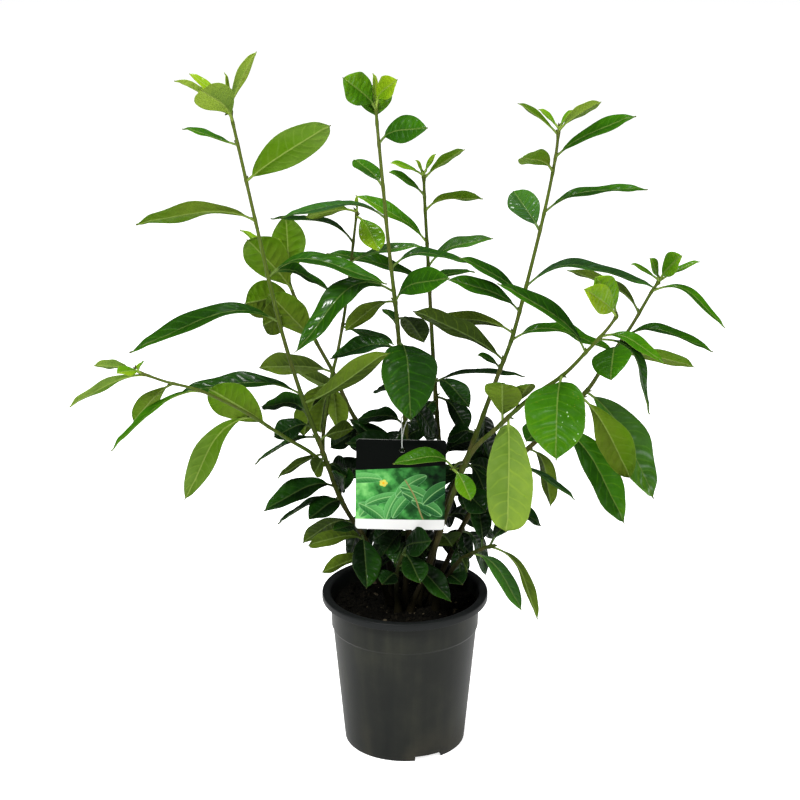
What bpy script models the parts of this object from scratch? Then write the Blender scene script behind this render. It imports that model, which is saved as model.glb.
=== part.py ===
"""A young cherry laurel in its nursery pot, with a picture label tied to the middle stem.

Metres, +Z up. The origin is the middle of the pot's underside, and the front is -Y.
Places on the plant are set out on a front sheet: an upright drawing plane through the
pot's axis, in millimetres right of the axis and above the ground, seen from EYE. A depth
in millimetres behind the sheet (or before it, when negative) makes each one a real place.
"""
import math

import bmesh
import bpy
from mathutils import Vector

MM = 0.001
GAP = 0.0003
WELD = 1e-6

EYE = Vector((-0.0056, -2.40, 1.28))

# Pot: a moulded nursery container with a turned-down lip, a collar and a notched foot
RIM_RADIUS = 0.095
POT_HEIGHT = 0.185
LIP_DEPTH = 0.008
WALL = 0.0016
COLLAR_TOP_RADIUS = 0.0852
COLLAR_LOW_RADIUS = 0.0842
COLLAR_LOW = 0.144
BODY_TOP_RADIUS = 0.0826
FOOT_RADIUS = 0.0694
FOOT_HEIGHT = 0.0065
FOOT_WIDTH = 0.007
PAD_RADIUS = 0.020
FLOOR_TOP = FOOT_HEIGHT + WALL
POT_STEPS = 32
LIP_BEVEL = 0.0014
COLLAR_STEP = 0.002
NOTCH_WIDTH = 0.032
NOTCH_HEIGHT = 0.0056
NOTCH_ANGLES = (-67, 53, 173)
DRAIN_RADIUS = 0.005
DRAIN_CIRCLE = 0.045
DRAIN_COUNT = 6
CUT_PAST = 0.004

# Soil: fills the pot to a little below the rim
SOIL_TOP = 0.167
SOIL_BUMP = 0.0022
SOIL_EDGE = 0.012
SOIL_WAVES = ((210, 90, 0.0, 1.0), (-130, 240, 1.3, 1.0), (390, -310, 0.4, 0.6))
SOIL_RINGS = 4
HOLE_DEPTH = 0.050
HOLE_CLEARANCE = 0.0006
STEM_CLEAR_OF_SOIL = 0.008

# Stems taper along their length; each radius is in millimetres
STEM_BASE = 3.9
STEM_TIP = 1.7
BRANCH_BASE = 2.3
BRANCH_TIP = 1.3
STEM_SAMPLES = 10
BRANCH_SAMPLES = 7
SEARCH_STEPS = 40

# Leaves: an arched blade, a little folded along its midrib, on a short stalk
BLADE_THICKNESS = 0.0008
STALK_LENGTH = 0.010
STALK_MOST = 0.2
STALK_HALF_WIDTH = 0.0011
STALK_THICKNESS = 0.0020
TIP_HALF_WIDTH = 0.0005
FOLD = 0.20
ARCH_SCALE = 27 / 4
SLOPE_STEP = 0.01
WIDEST_POWER = 1.08
FULLNESS = 0.8
LARGE_STATIONS = (0.0, 0.18, 0.42, 0.68, 0.89, 1.0)
MIDDLE_STATIONS = (0.0, 0.25, 0.58, 0.87, 1.0)
SMALL_STATIONS = (0.0, 0.35, 0.78, 1.0)
LARGE_WIDTH = 0.0425
SMALL_WIDTH = 0.034

# Label: a thin card hung by a clear loop
CARD_WIDTH = 0.0995
CARD_HEIGHT = 0.107
CARD_THICKNESS = 0.0008
CARD_CORNER = 0.004
CARD_CENTRE = (-5, 314, -42)
CARD_TURN = 1.0
CARD_HOLE_RADIUS = 0.0032
CARD_HOLE_DROP = 0.0115
CARD_HOLE_SHIFT = 0.001
CARD_HOLE_SIDES = 16
LOOP_RADIUS = 0.0006
LOOP_HEIGHT = 394
LOOP_CLEAR = 0.0004

# Stems on the front sheet, from the soil to the tip: right, up, depth
STEMS = {
    "left_tall": (
        (-19, 171, -5), (-33, 209, -8), (-45, 246, -10), (-71, 293, -18), (-92, 353, -25),
        (-116, 424, -32), (-139, 509, -36), (-161, 616, -36), (-184, 730, -30), (-187, 742, -29),
    ),
    "left_inner": (
        (-92, 349, -24), (-91, 380, -2), (-82, 440, 28), (-74, 475, 42), (-66, 521, 52),
        (-60, 567, 58), (-54, 618, 64), (-52, 634, 66),
    ),
    "left_low": (
        (-90, 338, -24), (-107, 354, -40), (-129, 368, -62), (-151, 383, -84),
        (-184, 405, -110), (-228, 427, -140), (-267, 438, -160), (-298, 450, -172),
    ),
    "centre": (
        (0, 171, 2), (4, 246, 4), (3, 296, 6), (1, 368, 8), (-1, 416, 8), (-6, 475, 6),
        (-10, 521, 4), (-18, 595, 2), (-24, 662, 0), (-30, 728, -2), (-31, 746, -3),
    ),
    "back_centre": (
        (27, 179, 22), (35, 246, 38), (41, 332, 56), (37, 380, 66), (32, 451, 80),
        (28, 521, 92), (25, 576, 100), (21, 646, 108), (20, 674, 110),
    ),
    "back_left": (
        (-15, 179, 22), (-23, 259, 42), (-34, 332, 62), (-45, 372, 76), (-64, 410, 94),
        (-78, 445, 108), (-98, 484, 126), (-115, 521, 142), (-126, 550, 152), (-135, 583, 160),
    ),
    "right_tall": (
        (16, 169, -3), (35, 246, -4), (53, 308, -2), (73, 356, 2), (92, 412, 8), (105, 451, 14),
        (119, 492, 20), (136, 564, 32), (151, 634, 42), (161, 691, 50), (164, 724, 54),
    ),
    "right_twig": ((66, 341, 1), (60, 340, -28), (54, 333, -56)),
    "right_outer": (
        (31, 166, 8), (49, 222, 8), (74, 279, 4), (129, 348, 2), (173, 392, 5), (203, 428, 9),
        (216, 449, 12), (232, 475, 15), (250, 504, 19), (270, 542, 24), (278, 554, 26),
    ),
    "right_front": (
        (8, 156, -20), (26, 209, -24), (49, 286, -32), (73, 350, -54), (103, 383, -76),
        (139, 418, -94), (175, 445, -106), (200, 472, -114), (222, 498, -122), (234, 516, -126),
    ),
    "low_right": (
        (36, 164, -14), (47, 197, -24), (61, 219, -36), (77, 230, -48), (92, 237, -58), (105, 240, -66),
    ),
    "low_centre": ((-8, 156, -26), (-10, 184, -32), (-8, 212, -38), (-1, 232, -44)),
}

# Leaves of each stem, one to a line: height of the root on the sheet, right and up of the
# tip on the sheet, depth of the tip from the root, width, how much of the upper face is
# turned to the front (1 flat on, 0 edge on, negative for the underside) and rise of the
# arch as a share of the length. All but the last two are millimetres.
LEAVES = {
    "left_tall": (
        (729, -218, 768, -45, 40, -0.95, 0.1),
        (736, -244, 778, -10, 22, -0.3, 0.03),
        (738, -228, 785, 15, 14, 0.6, 0.05),
        (740, -190, 785, 12, 9, 0.5, 0),
        (740, -159, 808, 10, 20, -0.6, 0.04),
        (699, -238, 726, 30, 18, 0.35, 0),
        (661, -79, 730, -30, 42, -0.9, 0.02),
        (621, -292, 622, -25, 33, -0.5, 0.09),
        (561, -20, 555, -22, 30, 0.45, 0.17),
        (507, -305, 477, -55, 34, 0.5, 0.13),
        (422, -252, 428, -30, 34, 0.45, 0.09),
        (414, -17, 475, -30, 30, -0.75, -0.03),
        (392, -161, 410, 45, 30, 0.75, 0.2),
        (383, -147, 373, -20, 30, 0.75, 0.16),
        (373, -170, 342, 25, 24, 0.3, 0.08),
        (351, -145, 324, -35, 20, -0.5, 0.05),
        (348, -103, 327, -40, 22, -0.9, 0.05),
        (322, -66, 336, 35, 26, 0.8, 0.05),
        (305, -69, 324, -38, 28, 0.75, 0.1),
        (312, -160, 285, -50, 30, 0.8, 0.12),
        (296, -146, 269, 25, 24, 0.3, 0.1),
        (290, -109, 274, -50, 30, 0.7, 0.15),
        (270, -116, 246, 45, 24, -0.6, 0.1),
        (259, -81, 260, -40, 18, 0.6, 0.1),
        (245, -112, 242, -45, 28, -0.7, 0.1),
        (254, -43, 187, -52, 36, 0.9, 0.12),
        (219, -96, 208, -30, 26, -0.6, 0.12),
        (368, -59, 383, 34, 26, -0.6, 0.08),
        (298, -64, 335, 12, 30, 0.8, 0.1),
        (563, -79, 543, 55, 26, 0.55, 0.12),
        (338, -65, 332, 24, 28, 0.8, 0.12),
    ),
    "left_inner": (
        (630, -108, 628, -15, 26, -0.6, 0.08),
        (624, -28, 589, -40, 30, 0.85, 0.1),
        (631, -52, 650, 2, 7, 0.6, 0),
        (595, -145, 628, 20, 26, 0.25, 0.14),
        (447, -161, 456, 45, 34, -0.7, 0.05),
        (422, -96, 379, 50, 34, -0.6, 0.1),
        (435, -115, 375, 40, 36, -0.75, 0.1),
        (576, 18, 596, 2, 19, 0.5, 0.05),
        (503, -12, 483, -30, 21, 0.5, 0),
        (437, -75, 383, 12, 30, -0.8, 0.05),
    ),
    "left_low": (
        (444, -375, 411, -15, 20, -0.5, 0.08),
        (450, -345, 458, -10, 20, -0.5, 0.05),
        (447, -319, 449, -30, 16, 0.6, 0.05),
        (449, -292, 461, 18, 12, 0.5, 0.03),
        (435, -304, 392, 25, 24, -0.7, 0.05),
        (427, -332, 359, -40, 22, 0.3, 0.1),
        (384, -219, 431, -30, 42, -0.95, 0.02),
        (397, -250, 299, 20, 30, -0.85, 0.12),
    ),
    "centre": (
        (742, -65, 779, -28, 36, 0.9, 0.05),
        (751, -10, 777, -32, 25, 0.8, 0.12),
        (744, -33, 784, 5, 10, 0.6, 0),
        (729, -36, 772, 10, 42, 0.9, 0.02),
        (704, 23, 726, -24, 34, 0.8, 0.12),
        (659, -55, 692, 50, 26, 0.7, 0.06),
        (623, -134, 630, -14, 28, 0.25, 0.13),
        (569, 76, 576, 18, 26, 0.4, 0.16),
        (544, -123, 475, -60, 31, 0.8, 0.24),
        (531, 47, 559, -45, 34, 0.7, 0.12),
        (533, -66, 499, 38, 24, -0.7, 0.08),
        (512, 21, 486, 55, 30, -0.7, 0.1),
        (503, -23, 523, 32, 16, 0.6, 0.05),
        (483, 7, 391, -60, 64, 0.95, 0.28),
        (472, -83, 467, -5, 32, 0.6, 0.14),
        (422, -33, 429, 42, 26, 0.6, 0.1),
        (383, -54, 395, 38, 28, 0.7, 0.14),
        (406, 35, 373, 28, 30, 0.8, 0.12),
        (342, -66, 366, -12, 30, 0.8, 0.16),
        (325, -61, 395, 34, 30, 0.8, 0.1),
        (296, 64, 332, -14, 30, 0.75, 0.12),
        (222, -44, 214, 26, 30, 0.8, 0.14),
        (378, -13, 363, -12, 30, 0.75, 0.14),
        (256, -25, 230, -16, 30, 0.8, 0.14),
        (245, -11, 218, -34, 30, 0.85, 0.14),
        (270, -33, 237, 24, 30, 0.8, 0.14),
        (262, 31, 227, 22, 30, 0.8, 0.14),
    ),
    "back_centre": (
        (670, -15, 688, -15, 14, 0.4, 0.05),
        (672, 12, 690, -4, 8, 0.5, 0),
        (674, 32, 697, 5, 10, 0.6, 0.02),
        (665, 63, 703, -10, 18, -0.6, 0.04),
        (648, -16, 678, -22, 20, 0.4, 0.05),
        (630, 84, 649, -20, 24, -0.45, 0.12),
        (597, -52, 653, 18, 28, 0.5, 0.06),
        (571, 95, 605, 25, 28, 0.5, 0.12),
        (544, -84, 589, -12, 28, 0.45, 0.07),
        (437, 133, 447, 22, 24, 0.25, 0.08),
        (436, 72, 409, -50, 30, 0.7, 0.15),
        (416, 17, 397, -32, 26, 0.8, 0.1),
        (362, 15, 391, -22, 30, 0.8, 0.08),
        (546, 76, 567, 55, 24, 0.5, 0.1),
        (342, 84, 373, 26, 34, 0.8, 0.14),
        (290, 96, 322, 18, 32, 0.8, 0.12),
        (253, 79, 227, 12, 32, 0.85, 0.16),
        (380, -8, 368, -18, 30, 0.8, 0.14),
        (421, 71, 380, -14, 30, 0.8, 0.14),
        (240, -1, 214, -8, 30, 0.8, 0.14),
        (402, 8, 373, 18, 30, 0.8, 0.12),
    ),
    "back_left": (
        (550, -129, 628, 30, 42, -0.95, 0.03),
        (542, -172, 603, -14, 50, -0.95, 0.03),
        (533, -177, 529, -35, 46, -0.95, 0.06),
        (519, -158, 503, -48, 42, -0.9, 0.08),
        (558, -178, 615, 66, 22, 0.6, 0.05),
        (578, -137, 603, 10, 12, 0.5, 0.02),
        (350, -79, 378, 20, 32, 0.8, 0.12),
        (313, -89, 337, 14, 32, 0.85, 0.12),
        (277, -67, 222, 10, 32, 0.85, 0.16),
        (416, -117, 449, 24, 28, -0.6, 0.06),
        (332, 6, 354, 14, 30, 0.8, 0.12),
        (484, -150, 541, -20, 42, -0.9, 0),
        (374, -84, 360, -10, 28, 0.8, 0.12),
        (270, -8, 227, 4, 30, 0.8, 0.14),
        (392, -53, 354, -12, 28, 0.8, 0.12),
    ),
    "right_tall": (
        (713, 121, 753, 12, 14, -0.45, 0.04),
        (724, 143, 746, 5, 12, 0.5, 0.03),
        (723, 177, 745, 4, 10, 0.5, 0.02),
        (718, 208, 755, -18, 21, -0.6, 0.05),
        (692, 244, 740, -32, 28, 0.5, 0.05),
        (674, 124, 694, -42, 30, -0.8, 0.1),
        (610, 116, 657, 48, 35, 0.95, 0.02),
        (630, 261, 661, 18, 26, 0.38, 0.1),
        (547, 277, 551, 22, 28, 0.4, 0.16),
        (520, 48, 558, -30, 26, 0.6, 0.07),
        (534, 61, 583, -20, 24, 0.5, 0.06),
        (494, 39, 515, 25, 24, -0.6, 0.08),
        (487, 235, 475, 30, 28, 0.5, 0.14),
        (463, 9, 523, -25, 32, -0.65, 0.04),
        (452, 81, 470, -12, 14, 0.5, 0.08),
        (342, 94, 298, -16, 30, 0.8, 0.12),
        (271, 106, 251, 62, 30, 0.8, 0.12),
        (368, 107, 332, 34, 30, 0.8, 0.14),
        (336, 95, 341, 22, 32, 0.8, 0.14),
        (376, 47, 372, 22, 28, 0.8, 0.12),
        (322, 50, 339, 26, 28, 0.8, 0.12),
        (306, 47, 261, 44, 30, 0.8, 0.14),
        (398, 89, 332, 30, 30, 0.8, 0.14),
    ),
    "right_twig": (
        (334, -13, 342, -18, 27, 0.6, 0.16),
        (333, 75, 296, -34, 23, 0.9, 0.1),
    ),
    "right_outer": (
        (555, 247, 575, -8, 10, 0.5, 0.03),
        (554, 300, 583, -38, 26, 0.8, 0.04),
        (553, 268, 580, -18, 15, 0.6, 0.03),
        (555, 321, 578, 8, 13, 0.5, 0.03),
        (542, 354, 503, -20, 19, 0.45, 0.2),
        (516, 178, 570, -25, 26, -0.45, 0.1),
        (489, 341, 476, -28, 25, 0.4, 0.15),
        (475, 228, 442, -84, 46, 0.9, 0.12),
        (468, 320, 458, 34, 26, -0.5, 0.06),
        (425, 285, 297, 20, 50, 0.9, 0.06),
        (418, 256, 322, -38, 42, -0.9, 0.06),
        (387, 252, 267, -12, 42, 0.85, 0.08),
        (378, 136, 368, -34, 30, 0.8, 0.15),
        (356, 167, 290, 26, 24, -0.7, 0.14),
        (337, 194, 298, -12, 20, 0.35, 0.06),
        (296, 157, 265, 30, 26, 0.7, 0.12),
        (298, 66, 286, -24, 32, 0.85, 0.14),
        (259, 95, 203, 18, 26, 0.7, 0.14),
        (246, 64, 200, -22, 28, 0.8, 0.12),
        (288, 98, 279, 20, 26, 0.8, 0.12),
        (318, 115, 269, 18, 30, 0.8, 0.14),
    ),
    "right_front": (
        (395, 117, 258, 10, 55, -0.95, 0.05),
        (389, 108, 438, -30, 42, -0.95, 0.04),
        (405, 138, 436, -16, 28, -0.8, 0.1),
        (512, 198, 545, -44, 30, 0.9, 0.04),
        (511, 209, 559, -14, 32, 0.85, 0.08),
        (471, 104, 554, -12, 28, 0.5, 0.08),
        (489, 288, 461, -22, 23, 0.6, 0.14),
        (486, 276, 401, -28, 24, 0.4, 0.25),
        (444, 169, 344, -45, 70, 0.95, 0.28),
        (253, 54, 240, 16, 32, -0.8, 0.1),
        (305, 92, 282, -14, 38, 0.8, 0.12),
        (330, 107, 325, 34, 28, 0.8, 0.12),
    ),
    "low_right": (
        (238, 156, 149, -24, 20, -0.5, 0.16),
        (230, 136, 160, -34, 27, 0.7, 0.14),
        (222, 72, 210, -26, 18, -0.5, 0.05),
        (200, 66, 192, -24, 26, 0.7, 0.12),
        (235, 83, 292, 22, 30, 0.8, 0.1),
        (238, 129, 277, 44, 26, 0.8, 0.1),
    ),
    "low_centre": (
        (227, 18, 194, -44, 30, 0.9, 0.12),
        (214, 54, 171, -30, 30, 0.8, 0.16),
        (227, 29, 246, -30, 34, 0.8, 0.12),
        (203, -26, 192, -20, 28, 0.8, 0.14),
    ),
}

# Each shoot that stands in the soil by itself, with the branches that grow from it
SHOOTS = {
    "shoot_left": ("left_tall", "left_inner", "left_low"),
    "shoot_centre": ("centre",),
    "shoot_back_centre": ("back_centre",),
    "shoot_back_left": ("back_left",),
    "shoot_right": ("right_tall", "right_twig"),
    "shoot_right_outer": ("right_outer",),
    "shoot_right_front": ("right_front",),
    "shoot_low_right": ("low_right",),
    "shoot_low_centre": ("low_centre",),
}


def clear_scene():
    for obj in list(bpy.data.objects):
        bpy.data.objects.remove(obj, do_unlink=True)


def new_collection(name, hidden=False):
    collection = bpy.data.collections.new(name)
    bpy.context.scene.collection.children.link(collection)
    collection.hide_render = hidden
    return collection


def principled(name, colour, roughness, transmission=0.0):
    material = bpy.data.materials.new(name)
    material.use_nodes = True
    shader = material.node_tree.nodes["Principled BSDF"]
    shader.inputs["Base Color"].default_value = (*colour, 1.0)
    shader.inputs["Roughness"].default_value = roughness
    shader.inputs["Metallic"].default_value = 0.0
    shader.inputs["Transmission Weight"].default_value = transmission
    material.diffuse_color = (*colour, 1.0)
    return material


def mesh_object(name, mesh, collection, material=None):
    obj = bpy.data.objects.new(name, mesh)
    collection.objects.link(obj)
    if material:
        mesh.materials.clear()
        mesh.materials.append(material)
    return obj


def made_mesh(obj, name, collection, material=None):
    """Replace an object by a plain mesh of what its curve or modifiers show."""
    bpy.context.view_layer.update()
    shown = obj.evaluated_get(bpy.context.evaluated_depsgraph_get())
    mesh = bpy.data.meshes.new_from_object(shown)
    mesh.transform(obj.matrix_world)
    bm = bmesh.new()
    bm.from_mesh(mesh)
    bmesh.ops.remove_doubles(bm, verts=bm.verts, dist=WELD)
    bmesh.ops.recalc_face_normals(bm, faces=bm.faces)
    bm.to_mesh(mesh)
    bm.free()
    bpy.data.objects.remove(obj, do_unlink=True)
    mesh.name = name
    return mesh_object(name, mesh, collection, material)


def seen(right, up, depth):
    """The real place of a point on the front sheet, moved to its depth on the line of sight."""
    on_sheet = Vector((right * MM, 0.0, up * MM))
    share = (depth * MM - EYE.y) / -EYE.y
    return EYE + (on_sheet - EYE) * share


def turned(name, profile, collection):
    """Turn a profile of (radius, height) about the Z axis with a Screw modifier."""
    mesh = bpy.data.meshes.new(name)
    points = [(radius, 0.0, height) for radius, height in profile]
    mesh.from_pydata(points, [(i, i + 1) for i in range(len(points) - 1)], [])
    obj = mesh_object(name, mesh, collection)
    screw = obj.modifiers.new("turn", "SCREW")
    screw.steps = POT_STEPS
    screw.render_steps = POT_STEPS
    screw.use_merge_vertices = True
    screw.merge_threshold = 1e-5
    return obj


def cut(obj, cutters):
    """Take every object of a collection out of a mesh, and then the collection's objects."""
    modifier = obj.modifiers.new("cut", "BOOLEAN")
    modifier.operation = "DIFFERENCE"
    modifier.operand_type = "COLLECTION"
    modifier.collection = cutters
    collection = obj.users_collection[0]
    material = obj.data.materials[0] if obj.data.materials else None
    made_mesh(obj, obj.name, collection, material)
    for cutter in list(cutters.objects):
        bpy.data.objects.remove(cutter, do_unlink=True)


def cylinder_cutter(collection, place, radius, low, high, sides):
    bm = bmesh.new()
    bmesh.ops.create_cone(
        bm, cap_ends=True, segments=sides, radius1=radius, radius2=radius, depth=high - low
    )
    mesh = bpy.data.meshes.new("bore")
    bm.to_mesh(mesh)
    bm.free()
    cutter = as_cutter(mesh_object("bore", mesh, collection))
    cutter.location = (place[0], place[1], (low + high) / 2)


def as_cutter(obj):
    obj.display_type = "WIRE"
    obj.hide_render = True
    return obj


def pot_inner_radius(height):
    """Radius of the pot's inside at a height: the body's taper, then the collar's."""
    if height < COLLAR_LOW:
        share = (height - FOOT_HEIGHT) / (COLLAR_LOW - FOOT_HEIGHT)
        return FOOT_RADIUS + (BODY_TOP_RADIUS - FOOT_RADIUS) * share - WALL
    share = (height - COLLAR_LOW) / (POT_HEIGHT - LIP_DEPTH - COLLAR_LOW)
    return COLLAR_LOW_RADIUS + (COLLAR_TOP_RADIUS - COLLAR_LOW_RADIUS) * share - WALL


def make_pot(parts, cutters):
    lip_low = POT_HEIGHT - LIP_DEPTH
    foot_bevel = LIP_BEVEL / 2
    inside = [
        (0.0, FLOOR_TOP),
        (pot_inner_radius(FLOOR_TOP), FLOOR_TOP),
        (BODY_TOP_RADIUS - WALL, COLLAR_LOW - WALL),
        (COLLAR_LOW_RADIUS - WALL, COLLAR_LOW + GAP),
        (COLLAR_TOP_RADIUS - WALL, lip_low),
        (COLLAR_TOP_RADIUS, POT_HEIGHT),
    ]
    lip = [
        (RIM_RADIUS - LIP_BEVEL, POT_HEIGHT),
        (RIM_RADIUS, POT_HEIGHT - LIP_BEVEL),
        (RIM_RADIUS, lip_low),
        (RIM_RADIUS - WALL, lip_low),
        (RIM_RADIUS - WALL, POT_HEIGHT - WALL),
        (COLLAR_TOP_RADIUS + WALL, POT_HEIGHT - WALL),
        (COLLAR_TOP_RADIUS, lip_low),
    ]
    outside = [
        (COLLAR_LOW_RADIUS, COLLAR_LOW),
        (BODY_TOP_RADIUS, COLLAR_LOW - COLLAR_STEP),
        (FOOT_RADIUS, foot_bevel),
        (FOOT_RADIUS - foot_bevel, 0.0),
        (FOOT_RADIUS - FOOT_WIDTH, 0.0),
        (FOOT_RADIUS - FOOT_WIDTH - LIP_BEVEL, FOOT_HEIGHT),
        (PAD_RADIUS + LIP_BEVEL, FOOT_HEIGHT),
        (PAD_RADIUS, 0.0),
        (0.0, 0.0),
    ]
    pot = made_mesh(turned("pot_shape", inside + lip + outside, parts), "pot", parts,
                  principled("pot_plastic", (0.042, 0.045, 0.043), 0.45))
    for degrees in NOTCH_ANGLES:
        bm = bmesh.new()
        bmesh.ops.create_cube(bm, size=1.0)
        bmesh.ops.scale(bm, vec=(FOOT_WIDTH * 3, NOTCH_WIDTH, NOTCH_HEIGHT * 2), verts=bm.verts)
        mesh = bpy.data.meshes.new("notch")
        bm.to_mesh(mesh)
        bm.free()
        cutter = as_cutter(mesh_object("notch", mesh, cutters))
        angle = math.radians(degrees)
        reach = FOOT_RADIUS - FOOT_WIDTH / 2
        cutter.location = (reach * math.cos(angle), reach * math.sin(angle), 0.0)
        cutter.rotation_euler.z = angle
    for index in range(DRAIN_COUNT):
        angle = math.tau * (index + 0.5) / DRAIN_COUNT
        place = (DRAIN_CIRCLE * math.cos(angle), DRAIN_CIRCLE * math.sin(angle))
        cylinder_cutter(cutters, place, DRAIN_RADIUS, FOOT_HEIGHT / 2, FLOOR_TOP + CUT_PAST, 12)
    cut(pot, cutters)


def stem_foot(name):
    """Where a stem leaves the soil: straight below its first place on the sheet."""
    first = seen(*STEMS[name][0])
    return Vector((first.x, first.y, SOIL_TOP))


def soil_height(x, y):
    """Small crumbs and hollows as a sum of waves, fading out at the pot's wall."""
    edge = min(1.0, (pot_inner_radius(SOIL_TOP) - math.hypot(x, y)) / SOIL_EDGE)
    waves = sum(size * math.sin(p * x + q * y + turn) for p, q, turn, size in SOIL_WAVES)
    return SOIL_TOP + SOIL_BUMP * edge * waves / sum(wave[3] for wave in SOIL_WAVES)


def make_soil(parts, cutters):
    top_radius = pot_inner_radius(SOIL_TOP) - GAP
    profile = [
        (top_radius * ring / SOIL_RINGS, SOIL_TOP) for ring in range(SOIL_RINGS + 1)
    ]
    profile += [
        (COLLAR_LOW_RADIUS - WALL - GAP, COLLAR_LOW + 2 * GAP),
        (BODY_TOP_RADIUS - WALL - GAP, COLLAR_LOW - WALL),
        (pot_inner_radius(FLOOR_TOP) - GAP, FLOOR_TOP + GAP),
        (0.0, FLOOR_TOP + GAP),
    ]
    soil = made_mesh(turned("soil_shape", profile, parts), "soil", parts,
                   principled("soil_compost", (0.016, 0.011, 0.008), 0.95))
    for vertex in soil.data.vertices:
        if vertex.co.z > SOIL_TOP - MM:
            vertex.co.z = soil_height(vertex.co.x, vertex.co.y)
    for parent, *_ in SHOOTS.values():
        foot = stem_foot(parent)
        radius = STEM_BASE * MM + HOLE_CLEARANCE
        cylinder_cutter(cutters, foot, radius, SOIL_TOP - HOLE_DEPTH, SOIL_TOP + CUT_PAST, 8)
    cut(soil, cutters)


def smooth_point(points, share):
    """A place along a run of points, on a curve that passes through each of them."""
    place = share * (len(points) - 1)
    index = min(int(place), len(points) - 2)
    t = place - index
    before = points[max(index - 1, 0)]
    start, end = points[index], points[index + 1]
    after = points[min(index + 2, len(points) - 1)]
    a = 2 * start
    b = end - before
    c = 2 * before - 5 * start + 4 * end - after
    d = 3 * start - before - 3 * end + after
    return (a + b * t + c * t * t + d * t * t * t) / 2


def stem_route(name):
    """Points of a stem's middle line; one that stands in the soil starts in its hole."""
    points = [seen(*place) for place in STEMS[name]]
    if any(name == parents[0] for parents in SHOOTS.values()):
        foot = stem_foot(name)
        points[0] = foot + Vector((0, 0, STEM_CLEAR_OF_SOIL))
        return points, foot - Vector((0, 0, HOLE_DEPTH - GAP))
    return points, None


def stem_radius(share, base=STEM_BASE, tip=STEM_TIP):
    """A stem's radius in millimetres at a share of its length: an even taper."""
    return base + (tip - base) * share


def make_stem(name, parts):
    """A tapering round stem as a curve with a bevel, made a mesh."""
    points, buried = stem_route(name)
    samples = STEM_SAMPLES if buried else BRANCH_SAMPLES
    ends = (STEM_BASE, STEM_TIP) if buried else (BRANCH_BASE, BRANCH_TIP)
    shares = [i / (samples - 1) for i in range(samples)]
    route = [smooth_point(points, share) for share in shares]
    radii = [stem_radius(share, *ends) for share in shares]
    if buried:
        route.insert(0, buried)
        radii.insert(0, ends[0])
    curve = bpy.data.curves.new(name, "CURVE")
    curve.dimensions = "3D"
    curve.bevel_depth = MM
    curve.bevel_resolution = 1
    curve.use_fill_caps = True
    spline = curve.splines.new("POLY")
    spline.points.add(len(route) - 1)
    for point, place, radius in zip(spline.points, route, radii):
        point.co = (*place, 1.0)
        point.radius = radius
    obj = mesh_object(name, curve, parts)
    return made_mesh(obj, name, parts)


def sheet_height(heights, share):
    """Height on the sheet at a share of a stem's length, straight between its points."""
    place = share * (len(heights) - 1)
    index = min(int(place), len(heights) - 2)
    return heights[index] + (heights[index + 1] - heights[index]) * (place - index)


def share_at_height(name, height):
    """How far along a stem the front sheet shows a height."""
    heights = [place[1] for place in STEMS[name]]
    steps = SEARCH_STEPS * (len(heights) - 1)
    best = min(range(steps + 1), key=lambda i: abs(sheet_height(heights, i / steps) - height))
    return best / steps


def root_on_stem(name, height):
    """The point of a stem's middle line that the front sheet shows at a height."""
    points = [seen(*place) for place in STEMS[name]]
    return smooth_point(points, share_at_height(name, height))


def leaf_frame(root, tip, show):
    """Chord, length and upper-face direction of a leaf with a share of its face to the front."""
    chord = tip - root
    length = chord.length
    along = chord / length
    view = (EYE - (root + tip) / 2).normalized()
    facing = (view - along * view.dot(along)).normalized()
    beside = along.cross(facing)
    sideways = beside * math.sqrt(1 - show * show)
    choices = [facing * show + sideways, facing * show - sideways]
    return along, length, max(choices, key=lambda normal: normal.z)


def midrib_point(root, along, length, rise, arch, share):
    """The midrib: a straight chord, lifted by arch times its length at a third of the way."""
    lift = ARCH_SCALE * share * (1 - share) ** 2 * arch * length
    return root + along * (length * share) + rise * lift


def blade_half_width(width, share):
    """Half the blade's width: a long oval, widest past the middle, drawn out to its tip."""
    return width / 2 * max(0.0, math.sin(math.pi * share ** WIDEST_POWER)) ** FULLNESS


def blade_stations(width):
    """Shares of the blade's length that get a cross-section: more on a larger leaf."""
    if width > LARGE_WIDTH:
        return LARGE_STATIONS
    return MIDDLE_STATIONS if width > SMALL_WIDTH else SMALL_STATIONS


def leaf_sections(root, tip, width, show, arch):
    """Middle, side, normal, half width, thickness and fold of each cross-section."""
    along, length, normal = leaf_frame(root, tip, show)
    up = Vector((0, 0, 1))
    rise = (up - along * up.dot(along)).normalized()
    stations = blade_stations(width)
    stalk_share = min(STALK_LENGTH / length, STALK_MOST)
    shares = [0.0] + [stalk_share + (1 - stalk_share) * q for q in stations]
    sections = []
    for index, share in enumerate(shares):
        middle = midrib_point(root, along, length, rise, arch, share)
        ahead = midrib_point(root, along, length, rise, arch, share + SLOPE_STEP)
        behind = midrib_point(root, along, length, rise, arch, share - SLOPE_STEP)
        tangent = (ahead - behind).normalized()
        upper = (normal - tangent * normal.dot(tangent)).normalized()
        side = tangent.cross(upper)
        if index < 2:
            sections.append((middle, side, upper, STALK_HALF_WIDTH, STALK_THICKNESS, 0.0))
            continue
        half = max(blade_half_width(width, stations[index - 1]), TIP_HALF_WIDTH)
        sections.append((middle, side, upper, half, BLADE_THICKNESS, FOLD))
    return sections


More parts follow.
